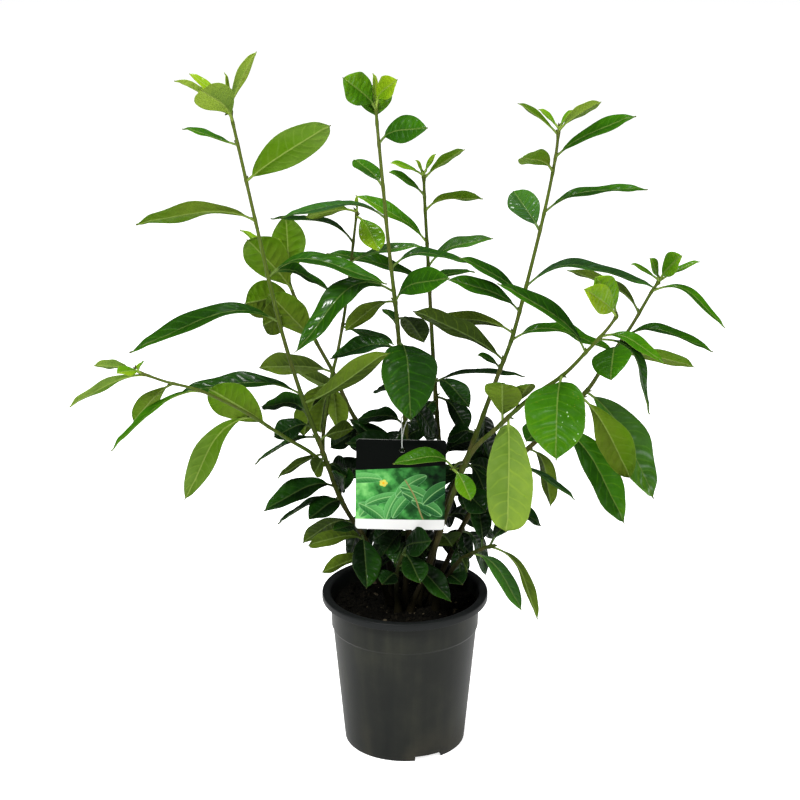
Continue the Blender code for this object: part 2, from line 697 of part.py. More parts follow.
def make_leaf(name, sections, collection):
    """Loft six-cornered cross-sections; quads are split the same way on both faces."""
    points = []
    for middle, side, upper, half, thickness, fold in sections:
        lift = upper * (half * fold)
        over = upper * (thickness / 2)
        left, right = middle - side * half + lift, middle + side * half + lift
        points += [left + over, middle + over, right + over]
        points += [right - over, middle - over, left - over]
    faces = []
    for index in range(len(sections) - 1):
        a, b = 6 * index, 6 * (index + 1)
        for corner in range(6):
            after = (corner + 1) % 6
            near, far = (a + corner, a + after), (b + corner, b + after)
            if corner in (0, 4, 5):
                faces += [(near[0], near[1], far[1]), (near[0], far[1], far[0])]
            else:
                faces += [(near[0], near[1], far[0]), (near[1], far[1], far[0])]
    last = 6 * (len(sections) - 1)
    for first, step in ((0, -1), (last, 1)):
        quads = [(first, first + 1, first + 4, first + 5),
                 (first + 1, first + 2, first + 3, first + 4)]
        faces += [quad[::step] for quad in quads]
    mesh = bpy.data.meshes.new(name)
    mesh.from_pydata(points, [], faces)
    bm = bmesh.new()
    bm.from_mesh(mesh)
    bmesh.ops.recalc_face_normals(bm, faces=bm.faces)
    bm.to_mesh(mesh)
    bm.free()
    return mesh_object(name, mesh, collection)


def make_shoot(name, stems, parts, repeats, material):
    """One leafy stem with its branches: every leaf is fused to it by one union."""
    body = make_stem(stems[0], parts)
    for branch in stems[1:]:
        make_stem(branch, repeats)
    for stem in stems:
        for index, row in enumerate(LEAVES[stem]):
            height, right, up, reach, width, show, arch = row
            root = root_on_stem(stem, height)
            tip = seen(right, up, root.y / MM + reach)
            sections = leaf_sections(root, tip, width * MM, show, arch)
            make_leaf(f"{stem}_leaf_{index}", sections, repeats)
    union = body.modifiers.new("join", "BOOLEAN")
    union.operation = "UNION"
    union.operand_type = "COLLECTION"
    union.collection = repeats
    union.solver = "MANIFOLD"
    done = made_mesh(body, name, parts, material)
    for obj in list(repeats.objects):
        bpy.data.objects.remove(obj, do_unlink=True)
    drop_scraps(done)


def drop_scraps(obj):
    """Keep the largest connected body of a mesh."""
    bm = bmesh.new()
    bm.from_mesh(obj.data)
    left = set(bm.verts)
    bodies = []
    while left:
        body, front = set(), [left.pop()]
        while front:
            vertex = front.pop()
            body.add(vertex)
            others = {edge.other_vert(vertex) for edge in vertex.link_edges}
            front += others & left
            left -= others
        bodies.append(body)
    bodies.sort(key=len, reverse=True)
    scraps = [vertex for body in bodies[1:] for vertex in body]
    bmesh.ops.delete(bm, geom=scraps, context="VERTS")
    bm.to_mesh(obj.data)
    bm.free()


def rounded_outline(width, height, corner, steps=4):
    """The corners of an upright rectangle with round corners, in order."""
    outline = []
    corners = ((1, 1, 0), (-1, 1, 90), (-1, -1, 180), (1, -1, 270))
    for right, up, start in corners:
        for step in range(steps + 1):
            angle = math.radians(start + 90 * step / steps)
            x = right * (width / 2 - corner) + corner * math.cos(angle)
            y = up * (height / 2 - corner) + corner * math.sin(angle)
            outline.append((x, y))
    return outline


def make_card(parts):
    """A flat outline with a hole, thickened and stood upright; also gives the hole's place."""
    curve = bpy.data.curves.new("label_card", "CURVE")
    curve.dimensions = "2D"
    curve.fill_mode = "BOTH"
    curve.extrude = CARD_THICKNESS / 2
    hole = Vector((CARD_HOLE_SHIFT, CARD_HEIGHT / 2 - CARD_HOLE_DROP, 0.0))
    ring = [math.tau * step / CARD_HOLE_SIDES for step in range(CARD_HOLE_SIDES)]
    circle = [(hole.x + CARD_HOLE_RADIUS * math.cos(a), hole.y + CARD_HOLE_RADIUS * math.sin(a))
              for a in ring]
    for outline in (rounded_outline(CARD_WIDTH, CARD_HEIGHT, CARD_CORNER), circle):
        spline = curve.splines.new("POLY")
        spline.points.add(len(outline) - 1)
        spline.use_cyclic_u = True
        for point, place in zip(spline.points, outline):
            point.co = (*place, 0.0, 1.0)
    obj = mesh_object("label_card", curve, parts)
    obj.location = seen(*CARD_CENTRE)
    obj.rotation_euler = (math.radians(90), math.radians(CARD_TURN), 0.0)
    place = obj.matrix_basis @ hole
    made_mesh(obj, "label_card", parts, principled("label_print", (0.10, 0.30, 0.06), 0.35))
    return place


def make_loop(parts, hole):
    """A clear tie: round the middle stem, down both sides and through the card's hole.

    It bears on the hole's upper edge, and its front strand on the card's top edge.
    """
    share = share_at_height("centre", LOOP_HEIGHT)
    stem = root_on_stem("centre", LOOP_HEIGHT)
    reach = stem_radius(share) * MM + LOOP_RADIUS + LOOP_CLEAR
    seat = hole + Vector((0.0, 0.0, CARD_HOLE_RADIUS - LOOP_RADIUS - GAP))
    off_card = CARD_THICKNESS / 2 + 2 * LOOP_RADIUS
    top = hole + Vector((0.0, -off_card / 2, CARD_HOLE_DROP + LOOP_RADIUS + GAP))
    route = [seat, seat + Vector((0.0, -off_card, LOOP_RADIUS)), top]
    for degrees in range(0, 181, 30):
        angle = math.radians(degrees)
        route.append(stem + Vector((math.cos(angle), math.sin(angle), 0.0)) * reach)
    route.append(seat + Vector((0.0, off_card, LOOP_RADIUS)))
    curve = bpy.data.curves.new("label_loop", "CURVE")
    curve.dimensions = "3D"
    curve.bevel_depth = LOOP_RADIUS
    curve.bevel_resolution = 1
    spline = curve.splines.new("POLY")
    spline.points.add(len(route) - 1)
    spline.use_cyclic_u = True
    for point, place in zip(spline.points, route):
        point.co = (*place, 1.0)
    obj = mesh_object("label_loop", curve, parts)
    made_mesh(obj, "label_loop", parts, principled("clear_plastic", (0.85, 0.88, 0.85), 0.2, 0.8))


def main():
    clear_scene()
    parts = new_collection("potted_cherry_laurel")
    cutters = new_collection("cutters", hidden=True)
    repeats = new_collection("repeats", hidden=True)
    make_pot(parts, cutters)
    make_soil(parts, cutters)
    for name, stems in SHOOTS.items():
        make_shoot(name, stems, parts, repeats, principled(name, (0.045, 0.150, 0.020), 0.35))
    make_loop(parts, make_card(parts))


main()
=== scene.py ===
# %% [markdown]
# # A potted cherry laurel, leaf by leaf
# The frame holds the plant as plain solids: a pot, its soil, nine leafy shoots and a label.
# This lesson dresses it. Each leafy shoot is made again from the same rows of measures,
# with veined, glossy blades and barked stems, and the pot and soil get fine surfaces.

import math

import bmesh
import bpy
import numpy as np
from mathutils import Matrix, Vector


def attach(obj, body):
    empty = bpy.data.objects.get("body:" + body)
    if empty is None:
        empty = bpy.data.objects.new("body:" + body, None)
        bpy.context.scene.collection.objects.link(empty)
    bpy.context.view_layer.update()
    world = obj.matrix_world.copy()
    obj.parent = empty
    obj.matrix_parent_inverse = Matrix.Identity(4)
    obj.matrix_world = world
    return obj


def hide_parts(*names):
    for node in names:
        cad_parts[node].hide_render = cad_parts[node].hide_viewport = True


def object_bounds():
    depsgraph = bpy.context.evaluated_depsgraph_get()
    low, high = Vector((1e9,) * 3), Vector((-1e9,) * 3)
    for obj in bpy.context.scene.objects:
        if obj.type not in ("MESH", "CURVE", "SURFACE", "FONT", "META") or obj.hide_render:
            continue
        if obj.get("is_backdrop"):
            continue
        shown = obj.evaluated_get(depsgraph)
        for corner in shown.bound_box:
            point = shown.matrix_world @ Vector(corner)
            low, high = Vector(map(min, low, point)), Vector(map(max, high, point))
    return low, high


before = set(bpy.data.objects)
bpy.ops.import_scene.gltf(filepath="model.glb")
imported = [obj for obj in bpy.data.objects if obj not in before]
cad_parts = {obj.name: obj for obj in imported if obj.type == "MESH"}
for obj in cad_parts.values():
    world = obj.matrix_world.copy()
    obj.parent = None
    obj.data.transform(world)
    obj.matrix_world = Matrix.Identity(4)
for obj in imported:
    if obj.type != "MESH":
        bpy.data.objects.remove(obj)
cad_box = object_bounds()
print("frame with", len(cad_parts), "nodes")

# %% [markdown]
# ## The camera comes first
# Every row of the plant was measured on an upright sheet through the pot's axis, as one
# eye sees it. The camera stands at that eye, so it has to be known before anything grows.

# %% Camera at the viewing angle
MM = 0.001
EYE = np.array((-0.0056, -2.40, 1.28))
LOOK_DOWN = 19.8
LENS = 103.05
SENSOR = 36.0

camera = bpy.data.objects.new("camera", bpy.data.cameras.new("camera"))
bpy.context.scene.collection.objects.link(camera)
camera.location = EYE
camera.rotation_euler = (math.radians(90 - LOOK_DOWN), 0.0, 0.0)
camera.data.lens = LENS
camera.data.sensor_width = SENSOR
bpy.context.scene.camera = camera
print("camera at", EYE)

# %% [markdown]
# ## The plant's measures
# A stem is a run of points on the sheet: millimetres right of the axis, millimetres above
# the ground, and depth behind the sheet. A leaf is one row: the height of its root on the
# sheet, its tip's place right and up, how far the tip reaches in depth, its width, how much
# of its upper face turns to the eye (negative for the underside), the rise of its arch,
# and its age from 0, old and dark, to 1, a young yellow-green tip leaf. The low ages of
# leaves deep inside and low down are also painted shade, to make them look shaded.

# %% Stems
STEMS = {
    "left_tall": (
        (-19, 171, -5), (-33, 209, -8), (-45, 246, -10), (-71, 293, -18), (-92, 353, -25),
        (-116, 424, -32), (-139, 509, -36), (-161, 616, -36), (-184, 730, -30), (-187, 742, -29),
    ),
    "left_inner": (
        (-92, 349, -24), (-91, 380, -2), (-82, 440, 28), (-74, 475, 42), (-66, 521, 52),
        (-60, 567, 58), (-54, 618, 64), (-52, 634, 66),
    ),
    "left_low": (
        (-90, 338, -24), (-107, 354, -40), (-129, 368, -62), (-151, 383, -84),
        (-184, 405, -110), (-228, 427, -140), (-267, 438, -160), (-298, 450, -172),
    ),
    "centre": (
        (0, 171, 2), (4, 246, 4), (3, 296, 6), (1, 368, 8), (-1, 416, 8), (-6, 475, 6),
        (-10, 521, 4), (-18, 595, 2), (-24, 662, 0), (-30, 728, -2), (-31, 746, -3),
    ),
    "back_centre": (
        (27, 179, 22), (35, 246, 38), (41, 332, 56), (37, 380, 66), (32, 451, 80),
        (28, 521, 92), (25, 576, 100), (21, 646, 108), (20, 674, 110),
    ),
    "back_left": (
        (-15, 179, 22), (-23, 259, 42), (-34, 332, 62), (-45, 372, 76), (-64, 410, 94),
        (-78, 445, 108), (-98, 484, 126), (-115, 521, 142), (-126, 550, 152), (-135, 583, 160),
    ),
    "right_tall": (
        (16, 169, -3), (35, 246, -4), (53, 308, -2), (73, 356, 2), (92, 412, 8), (105, 451, 14),
        (119, 492, 20), (136, 564, 32), (151, 634, 42), (161, 691, 50), (164, 724, 54),
    ),
    "right_twig": ((66, 341, 1), (60, 340, -28), (54, 333, -56)),
    "right_outer": (
        (31, 166, 8), (49, 222, 8), (74, 279, 4), (129, 348, 2), (173, 392, 5), (203, 428, 9),
        (216, 449, 12), (232, 475, 15), (250, 504, 19), (270, 542, 24), (278, 554, 26),
    ),
    "right_front": (
        (8, 156, -20), (26, 209, -24), (49, 286, -32), (73, 350, -54), (103, 383, -76),
        (139, 418, -94), (175, 445, -106), (200, 472, -114), (222, 498, -122), (234, 516, -126),
    ),
    "low_right": (
        (36, 164, -14), (47, 197, -24), (61, 219, -36), (77, 230, -48), (92, 237, -58), (105, 240, -66),
    ),
    "low_centre": ((-8, 156, -26), (-10, 184, -32), (-8, 212, -38), (-1, 232, -44)),
}
print(len(STEMS), "stems")

# %% [markdown]
# ### Leaf rows
# The rows of each stem run roughly from its tip down. Leaves could be scattered by chance,
# but a plant that is to be known again needs its own leaves in their own places.

# %% Leaves
# Low ages on the leaves deep inside and low down are painted shade as well as age
LEAVES = {
    "left_tall": (
        (729, -218, 768, -45, 40, -0.95, 0.1, 0.9),
        (736, -244, 778, -10, 22, -0.3, 0.03, 0.95),
        (738, -228, 785, 15, 14, 0.6, 0.05, 0.95),
        (740, -190, 785, 12, 9, 0.5, 0, 0.95),
        (740, -159, 808, 10, 20, -0.6, 0.04, 1),
        (699, -238, 726, 30, 18, 0.35, 0, 0.5),
        (661, -79, 730, -30, 42, -0.9, 0.02, 0.66),
        (621, -292, 622, -25, 33, -0.5, 0.09, 0.5),
        (561, -20, 555, -22, 30, 0.45, 0.17, 0.37),
        (507, -305, 477, -55, 34, 0.5, 0.13, 0.35),
        (422, -252, 428, -30, 34, 0.45, 0.09, 0.25),
        (414, -17, 475, -30, 30, -0.75, -0.03, 0.29),
        (392, -161, 410, 45, 30, 0.75, 0.2, 0.12),
        (383, -147, 373, -20, 30, 0.75, 0.16, 0.1),
        (373, -170, 342, 25, 24, 0.3, 0.08, 0.2),
        (351, -145, 324, -35, 20, -0.5, 0.05, 0.2),
        (348, -103, 327, -40, 22, -0.9, 0.05, 0.2),
        (322, -66, 336, 35, 26, 0.8, 0.05, 0.06),
        (305, -69, 324, -38, 28, 0.75, 0.1, 0.06),
        (312, -160, 285, -50, 30, 0.8, 0.12, 0.12),
        (296, -146, 269, 25, 24, 0.3, 0.1, 0.12),
        (290, -109, 274, -50, 30, 0.7, 0.15, 0.08),
        (270, -116, 246, 45, 24, -0.6, 0.1, 0.25),
        (259, -81, 260, -40, 18, 0.6, 0.1, 0.1),
        (245, -112, 242, -45, 28, -0.7, 0.1, 0.3),
        (254, -43, 187, -52, 36, 0.9, 0.12, 0.12),
        (219, -96, 208, -30, 26, -0.6, 0.12, 0.35),
        (368, -59, 383, 34, 26, -0.6, 0.08, 0.3),
        (298, -64, 335, 12, 30, 0.8, 0.1, 0.05),
        (563, -79, 543, 55, 26, 0.55, 0.12, 0.28),
        (338, -65, 332, 24, 28, 0.8, 0.12, 0.06),
    ),
    "left_inner": (
        (630, -108, 628, -15, 26, -0.6, 0.08, 0.8),
        (624, -28, 589, -40, 30, 0.85, 0.1, 0.78),
        (631, -52, 650, 2, 7, 0.6, 0, 0.9),
        (595, -145, 628, 20, 26, 0.25, 0.14, 0.2),
        (447, -161, 456, 45, 34, -0.7, 0.05, 0.33),
        (422, -96, 379, 50, 34, -0.6, 0.1, 0.35),
        (435, -115, 375, 40, 36, -0.75, 0.1, 0.4),
        (576, 18, 596, 2, 19, 0.5, 0.05, 0.42),
        (503, -12, 483, -30, 21, 0.5, 0, 0.32),
        (437, -75, 383, 12, 30, -0.8, 0.05, 0.4),
    ),
    "left_low": (
        (444, -375, 411, -15, 20, -0.5, 0.08, 0.75),
        (450, -345, 458, -10, 20, -0.5, 0.05, 0.8),
        (447, -319, 449, -30, 16, 0.6, 0.05, 0.85),
        (449, -292, 461, 18, 12, 0.5, 0.03, 0.8),
        (435, -304, 392, 25, 24, -0.7, 0.05, 0.5),
        (427, -332, 359, -40, 22, 0.3, 0.1, 0.55),
        (384, -219, 431, -30, 42, -0.95, 0.02, 0.54),
        (397, -250, 299, 20, 30, -0.85, 0.12, 0.7),
    ),
    "centre": (
        (742, -65, 779, -28, 36, 0.9, 0.05, 0.6),
        (751, -10, 777, -32, 25, 0.8, 0.12, 0.97),
        (744, -33, 784, 5, 10, 0.6, 0, 0.9),
        (729, -36, 772, 10, 42, 0.9, 0.02, 0.6),
        (704, 23, 726, -24, 34, 0.8, 0.12, 0.38),
        (659, -55, 692, 50, 26, 0.7, 0.06, 0.42),
        (623, -134, 630, -14, 28, 0.25, 0.13, 0.3),
        (569, 76, 576, 18, 26, 0.4, 0.16, 0.3),
        (544, -123, 475, -60, 31, 0.8, 0.24, 0.32),
        (531, 47, 559, -45, 34, 0.7, 0.12, 0.36),
        (533, -66, 499, 38, 24, -0.7, 0.08, 0.42),
        (512, 21, 486, 55, 30, -0.7, 0.1, 0.2),
        (503, -23, 523, 32, 16, 0.6, 0.05, 0.3),
        (483, 7, 391, -60, 64, 0.95, 0.28, 0.26),
        (472, -83, 467, -5, 32, 0.6, 0.14, 0.22),
        (422, -33, 429, 42, 26, 0.6, 0.1, 0.1),
        (383, -54, 395, 38, 28, 0.7, 0.14, 0.05),
        (406, 35, 373, 28, 30, 0.8, 0.12, 0.08),
        (342, -66, 366, -12, 30, 0.8, 0.16, 0.05),
        (325, -61, 395, 34, 30, 0.8, 0.1, 0.05),
        (296, 64, 332, -14, 30, 0.75, 0.12, 0.05),
        (222, -44, 214, 26, 30, 0.8, 0.14, 0.05),
        (378, -13, 363, -12, 30, 0.75, 0.14, 0.05),
        (256, -25, 230, -16, 30, 0.8, 0.14, 0.04),
        (245, -11, 218, -34, 30, 0.85, 0.14, 0.06),
        (270, -33, 237, 24, 30, 0.8, 0.14, 0.04),
        (262, 31, 227, 22, 30, 0.8, 0.14, 0.04),
    ),
    "back_centre": (
        (670, -15, 688, -15, 14, 0.4, 0.05, 0.8),
        (672, 12, 690, -4, 8, 0.5, 0, 0.85),
        (674, 32, 697, 5, 10, 0.6, 0.02, 0.85),
        (665, 63, 703, -10, 18, -0.6, 0.04, 0.7),
        (648, -16, 678, -22, 20, 0.4, 0.05, 0.42),
        (630, 84, 649, -20, 24, -0.45, 0.12, 0.6),
        (597, -52, 653, 18, 28, 0.5, 0.06, 0.6),
        (571, 95, 605, 25, 28, 0.5, 0.12, 0.45),
        (544, -84, 589, -12, 28, 0.45, 0.07, 0.35),
        (437, 133, 447, 22, 24, 0.25, 0.08, 0.12),
        (436, 72, 409, -50, 30, 0.7, 0.15, 0.2),
        (416, 17, 397, -32, 26, 0.8, 0.1, 0.15),
        (362, 15, 391, -22, 30, 0.8, 0.08, 0.08),
        (546, 76, 567, 55, 24, 0.5, 0.1, 0.35),
        (342, 84, 373, 26, 34, 0.8, 0.14, 0.06),
        (290, 96, 322, 18, 32, 0.8, 0.12, 0.05),
        (253, 79, 227, 12, 32, 0.85, 0.16, 0.06),
        (380, -8, 368, -18, 30, 0.8, 0.14, 0.06),
        (421, 71, 380, -14, 30, 0.8, 0.14, 0.1),
        (240, -1, 214, -8, 30, 0.8, 0.14, 0.04),
        (402, 8, 373, 18, 30, 0.8, 0.12, 0.05),
    ),
    "back_left": (
        (550, -129, 628, 30, 42, -0.95, 0.03, 0.6),
        (542, -172, 603, -14, 50, -0.95, 0.03, 0.56),
        (533, -177, 529, -35, 46, -0.95, 0.06, 0.5),
        (519, -158, 503, -48, 42, -0.9, 0.08, 0.36),
        (558, -178, 615, 66, 22, 0.6, 0.05, 0.8),
        (578, -137, 603, 10, 12, 0.5, 0.02, 0.8),
        (350, -79, 378, 20, 32, 0.8, 0.12, 0.06),
        (313, -89, 337, 14, 32, 0.85, 0.12, 0.06),
        (277, -67, 222, 10, 32, 0.85, 0.16, 0.05),
        (416, -117, 449, 24, 28, -0.6, 0.06, 0.3),
        (332, 6, 354, 14, 30, 0.8, 0.12, 0.06),
        (484, -150, 541, -20, 42, -0.9, 0, 0.5),
        (374, -84, 360, -10, 28, 0.8, 0.12, 0.06),
        (270, -8, 227, 4, 30, 0.8, 0.14, 0.04),
        (392, -53, 354, -12, 28, 0.8, 0.12, 0.06),
    ),
    "right_tall": (
        (713, 121, 753, 12, 14, -0.45, 0.04, 0.55),
        (724, 143, 746, 5, 12, 0.5, 0.03, 0.8),
        (723, 177, 745, 4, 10, 0.5, 0.02, 0.8),
        (718, 208, 755, -18, 21, -0.6, 0.05, 0.82),
        (692, 244, 740, -32, 28, 0.5, 0.05, 0.42),
        (674, 124, 694, -42, 30, -0.8, 0.1, 0.64),
        (610, 116, 657, 48, 35, 0.95, 0.02, 0.38),
        (630, 261, 661, 18, 26, 0.38, 0.1, 0.36),
        (547, 277, 551, 22, 28, 0.4, 0.16, 0.3),
        (520, 48, 558, -30, 26, 0.6, 0.07, 0.3),
        (534, 61, 583, -20, 24, 0.5, 0.06, 0.3),
        (494, 39, 515, 25, 24, -0.6, 0.08, 0.35),
        (487, 235, 475, 30, 28, 0.5, 0.14, 0.42),
        (463, 9, 523, -25, 32, -0.65, 0.04, 0.22),
        (452, 81, 470, -12, 14, 0.5, 0.08, 0.2),
        (342, 94, 298, -16, 30, 0.8, 0.12, 0.06),
        (271, 106, 251, 62, 30, 0.8, 0.12, 0.06),
        (368, 107, 332, 34, 30, 0.8, 0.14, 0.07),
        (336, 95, 341, 22, 32, 0.8, 0.14, 0.05),
        (376, 47, 372, 22, 28, 0.8, 0.12, 0.06),
        (322, 50, 339, 26, 28, 0.8, 0.12, 0.05),
        (306, 47, 261, 44, 30, 0.8, 0.14, 0.04),
        (398, 89, 332, 30, 30, 0.8, 0.14, 0.07),
    ),
    "right_twig": (
        (334, -13, 342, -18, 27, 0.6, 0.16, 0.45),
        (333, 75, 296, -34, 23, 0.9, 0.1, 0.6),
    ),
    "right_outer": (
        (555, 247, 575, -8, 10, 0.5, 0.03, 0.6),
        (554, 300, 583, -38, 26, 0.8, 0.04, 0.65),
        (553, 268, 580, -18, 15, 0.6, 0.03, 0.7),
        (555, 321, 578, 8, 13, 0.5, 0.03, 0.6),
        (542, 354, 503, -20, 19, 0.45, 0.2, 0.5),
        (516, 178, 570, -25, 26, -0.45, 0.1, 0.3),
        (489, 341, 476, -28, 25, 0.4, 0.15, 0.3),
        (475, 228, 442, -84, 46, 0.9, 0.12, 0.48),
        (468, 320, 458, 34, 26, -0.5, 0.06, 0.45),
        (425, 285, 297, 20, 50, 0.9, 0.06, 0.48),
        (418, 256, 322, -38, 42, -0.9, 0.06, 0.45),
        (387, 252, 267, -12, 42, 0.85, 0.08, 0.46),
        (378, 136, 368, -34, 30, 0.8, 0.15, 0.25),
        (356, 167, 290, 26, 24, -0.7, 0.14, 0.3),
        (337, 194, 298, -12, 20, 0.35, 0.06, 0.25),
        (296, 157, 265, 30, 26, 0.7, 0.12, 0.1),
        (298, 66, 286, -24, 32, 0.85, 0.14, 0.08),
        (259, 95, 203, 18, 26, 0.7, 0.14, 0.08),
        (246, 64, 200, -22, 28, 0.8, 0.12, 0.06),
        (288, 98, 279, 20, 26, 0.8, 0.12, 0.05),
        (318, 115, 269, 18, 30, 0.8, 0.14, 0.06),
    ),
    "right_front": (
        (395, 117, 258, 10, 55, -0.95, 0.05, 0.8),
        (389, 108, 438, -30, 42, -0.95, 0.04, 0.4),
        (405, 138, 436, -16, 28, -0.8, 0.1, 0.4),
        (512, 198, 545, -44, 30, 0.9, 0.04, 0.95),
        (511, 209, 559, -14, 32, 0.85, 0.08, 0.75),
        (471, 104, 554, -12, 28, 0.5, 0.08, 0.35),
        (489, 288, 461, -22, 23, 0.6, 0.14, 0.55),
        (486, 276, 401, -28, 24, 0.4, 0.25, 0.3),
        (444, 169, 344, -45, 70, 0.95, 0.28, 0.54),
        (253, 54, 240, 16, 32, -0.8, 0.1, 0.1),
        (305, 92, 282, -14, 38, 0.8, 0.12, 0.1),
        (330, 107, 325, 34, 28, 0.8, 0.12, 0.07),
    ),
    "low_right": (
        (238, 156, 149, -24, 20, -0.5, 0.16, 0.36),
        (230, 136, 160, -34, 27, 0.7, 0.14, 0.36),
        (222, 72, 210, -26, 18, -0.5, 0.05, 0.1),
        (200, 66, 192, -24, 26, 0.7, 0.12, 0.08),
        (235, 83, 292, 22, 30, 0.8, 0.1, 0.08),
        (238, 129, 277, 44, 26, 0.8, 0.1, 0.1),
    ),
    "low_centre": (
        (227, 18, 194, -44, 30, 0.9, 0.12, 0.15),
        (214, 54, 171, -30, 30, 0.8, 0.16, 0.08),
        (227, 29, 246, -30, 34, 0.8, 0.12, 0.08),
        (203, -26, 192, -20, 28, 0.8, 0.14, 0.06),
    ),
}
print(sum(len(rows) for rows in LEAVES.values()), "leaves")

# %% [markdown]
# ### Leaves deep inside
# Small leaves, painted nearly black as painted shade, close the view between the stems
# above the soil. The plain solids leave them out, and the same kind of row makes them here.

# %% Leaves deep inside
INNER_LEAVES = {
    "centre": (
        (262, -38, 246, 20, 26, 0.8, 0.1, 0.03),
        (252, -40, 226, 8, 26, 0.8, 0.12, 0.03),
        (240, 36, 232, 10, 28, 0.8, 0.1, 0.03),
        (232, -2, 206, -14, 26, 0.85, 0.12, 0.03),
    ),
    "back_centre": (
        (262, 2, 232, 6, 30, 0.8, 0.1, 0.02),
        (240, 62, 226, 16, 28, 0.8, 0.12, 0.02),
        (226, 20, 200, 8, 26, 0.8, 0.12, 0.02),
    ),
    "back_left": (
        (262, -52, 226, 8, 28, 0.8, 0.12, 0.03),
        (240, -10, 214, 14, 26, 0.8, 0.12, 0.02),
    ),
    "right_tall": (
        (250, 68, 232, 14, 28, 0.8, 0.12, 0.03),
        (236, 12, 212, 16, 26, 0.8, 0.1, 0.02),
    ),
}
print(sum(len(rows) for rows in INNER_LEAVES.values()), "leaves deep inside")

# %% [markdown]
# ### Outlines of their own
# A few big leaves in front have an outline that differs from the usual two. Each is found
# by its stem and root height, and has a power, more of which makes it wider near the tip,
# and a fullness, less of which makes it broader at both ends.

# %% Outlines of their own
OUTLINES = {
    ("right_front", 395): (1.61, 0.29),
    ("right_front", 444): (0.84, 0.74),
    ("right_front", 389): (1.35, 0.66),
    ("centre", 483): (0.80, 0.78),
    ("right_outer", 425): (1.12, 0.74),
    ("right_outer", 387): (1.16, 0.66),
    ("right_outer", 418): (1.42, 0.62),
    ("left_tall", 661): (1.16, 0.58),
    ("left_low", 384): (1.30, 0.60),
}
WET_LEAF = ("right_front", 444)
print(len(OUTLINES), "outlines of their own")

# %% [markdown]
# ### Which stems grow together
# Each row names the solid that a shoot stands for, then its stems. The first stem of each
# grows out of the soil, and the others branch off it.

# %% Which stems grow together
SHOOTS = {
    "shoot_left": ("left_tall", "left_inner", "left_low"),
    "shoot_centre": ("centre",),
    "shoot_back_centre": ("back_centre",),
    "shoot_back_left": ("back_left",),
    "shoot_right": ("right_tall", "right_twig"),
    "shoot_right_outer": ("right_outer",),
    "shoot_right_front": ("right_front",),
    "shoot_low_right": ("low_right",),
    "shoot_low_centre": ("low_centre",),
}
print(len(SHOOTS), "shoots")

# %% [markdown]
# ## From the sheet to the garden
# A point of the sheet is moved along its line of sight to its depth, so the plant keeps the
# outline it was measured with and still has a front and a back.

# %% Places and smooth lines
def seen(right, up, depth):
    """A sheet point at its depth: eye + (sheet point - eye) * (depth - eye depth) / -eye depth."""
    on_sheet = np.array((right * MM, 0.0, up * MM))
    return EYE + (on_sheet - EYE) * (depth * MM - EYE[1]) / -EYE[1]


def smooth_line(points, shares):
    """Points at shares of a run, on the cubic that leaves each point along its neighbours' chord."""
    place = np.clip(shares, 0, 1) * (len(points) - 1)
    index = np.minimum(place.astype(int), len(points) - 2)
    t = (place - index)[:, None]
    before = points[np.maximum(index - 1, 0)]
    start = points[index]
    end = points[index + 1]
    after = points[np.minimum(index + 2, len(points) - 1)]
    bend = 2 * before - 5 * start + 4 * end - after
    turn = 3 * start - before - 3 * end + after
    return (2 * start + (end - before) * t + bend * t**2 + turn * t**3) / 2


def unit(vectors):
    """Each vector divided by its own length."""
    return vectors / np.linalg.norm(vectors, axis=-1, keepdims=True)


def smooth_step(low, high, values):
    """0 below low, 1 above high, and 3t^2 - 2t^3 between them."""
    t = np.clip((values - low) / (high - low), 0, 1)
    return t * t * (3 - 2 * t)


def share_at_height(stem, height):
    """How far along a stem its straight-lined sheet heights come nearest to a height."""
    heights = np.array([point[1] for point in STEMS[stem]], float)
    shares = np.linspace(0, 1, 40 * (len(heights) - 1) + 1)
    drawn = np.interp(shares * (len(heights) - 1), np.arange(len(heights)), heights)
    return shares[np.abs(drawn - height).argmin()]


def stem_points(stem):
    return np.array([seen(*point) for point in STEMS[stem]])


print("left shoot's tip is at", stem_points("left_tall")[-1].round(3))

# %% [markdown]
# ## Meshes from arrays
# A surface is a grid of points worked out at once. Points could be added one by one to a
# mesh, but arrays are faster to compute and easier to check.

# %% Grids
def grid_faces(rows, columns, closed=False):
    """Quads of a grid of points numbered row by row; closed also joins the last column to the first."""
    across = columns if closed else columns - 1
    row, column = np.meshgrid(np.arange(rows - 1), np.arange(across), indexing="ij")
    after = (column + 1) % columns
    corners = (row * columns + column, row * columns + after,
               (row + 1) * columns + after, (row + 1) * columns + column)
    return np.stack(corners, axis=-1).reshape(-1, 4)


print("a 4 by 3 grid has", len(grid_faces(4, 3)), "quads")

# %% [markdown]
# ### Heaps
# A blade or a tube is a grid closed into a shell. A plant has hundreds of them, and an
# object for each would be slow to handle, so a heap gathers the shells of one finish, with
# the values that the paint reads, into one mesh.


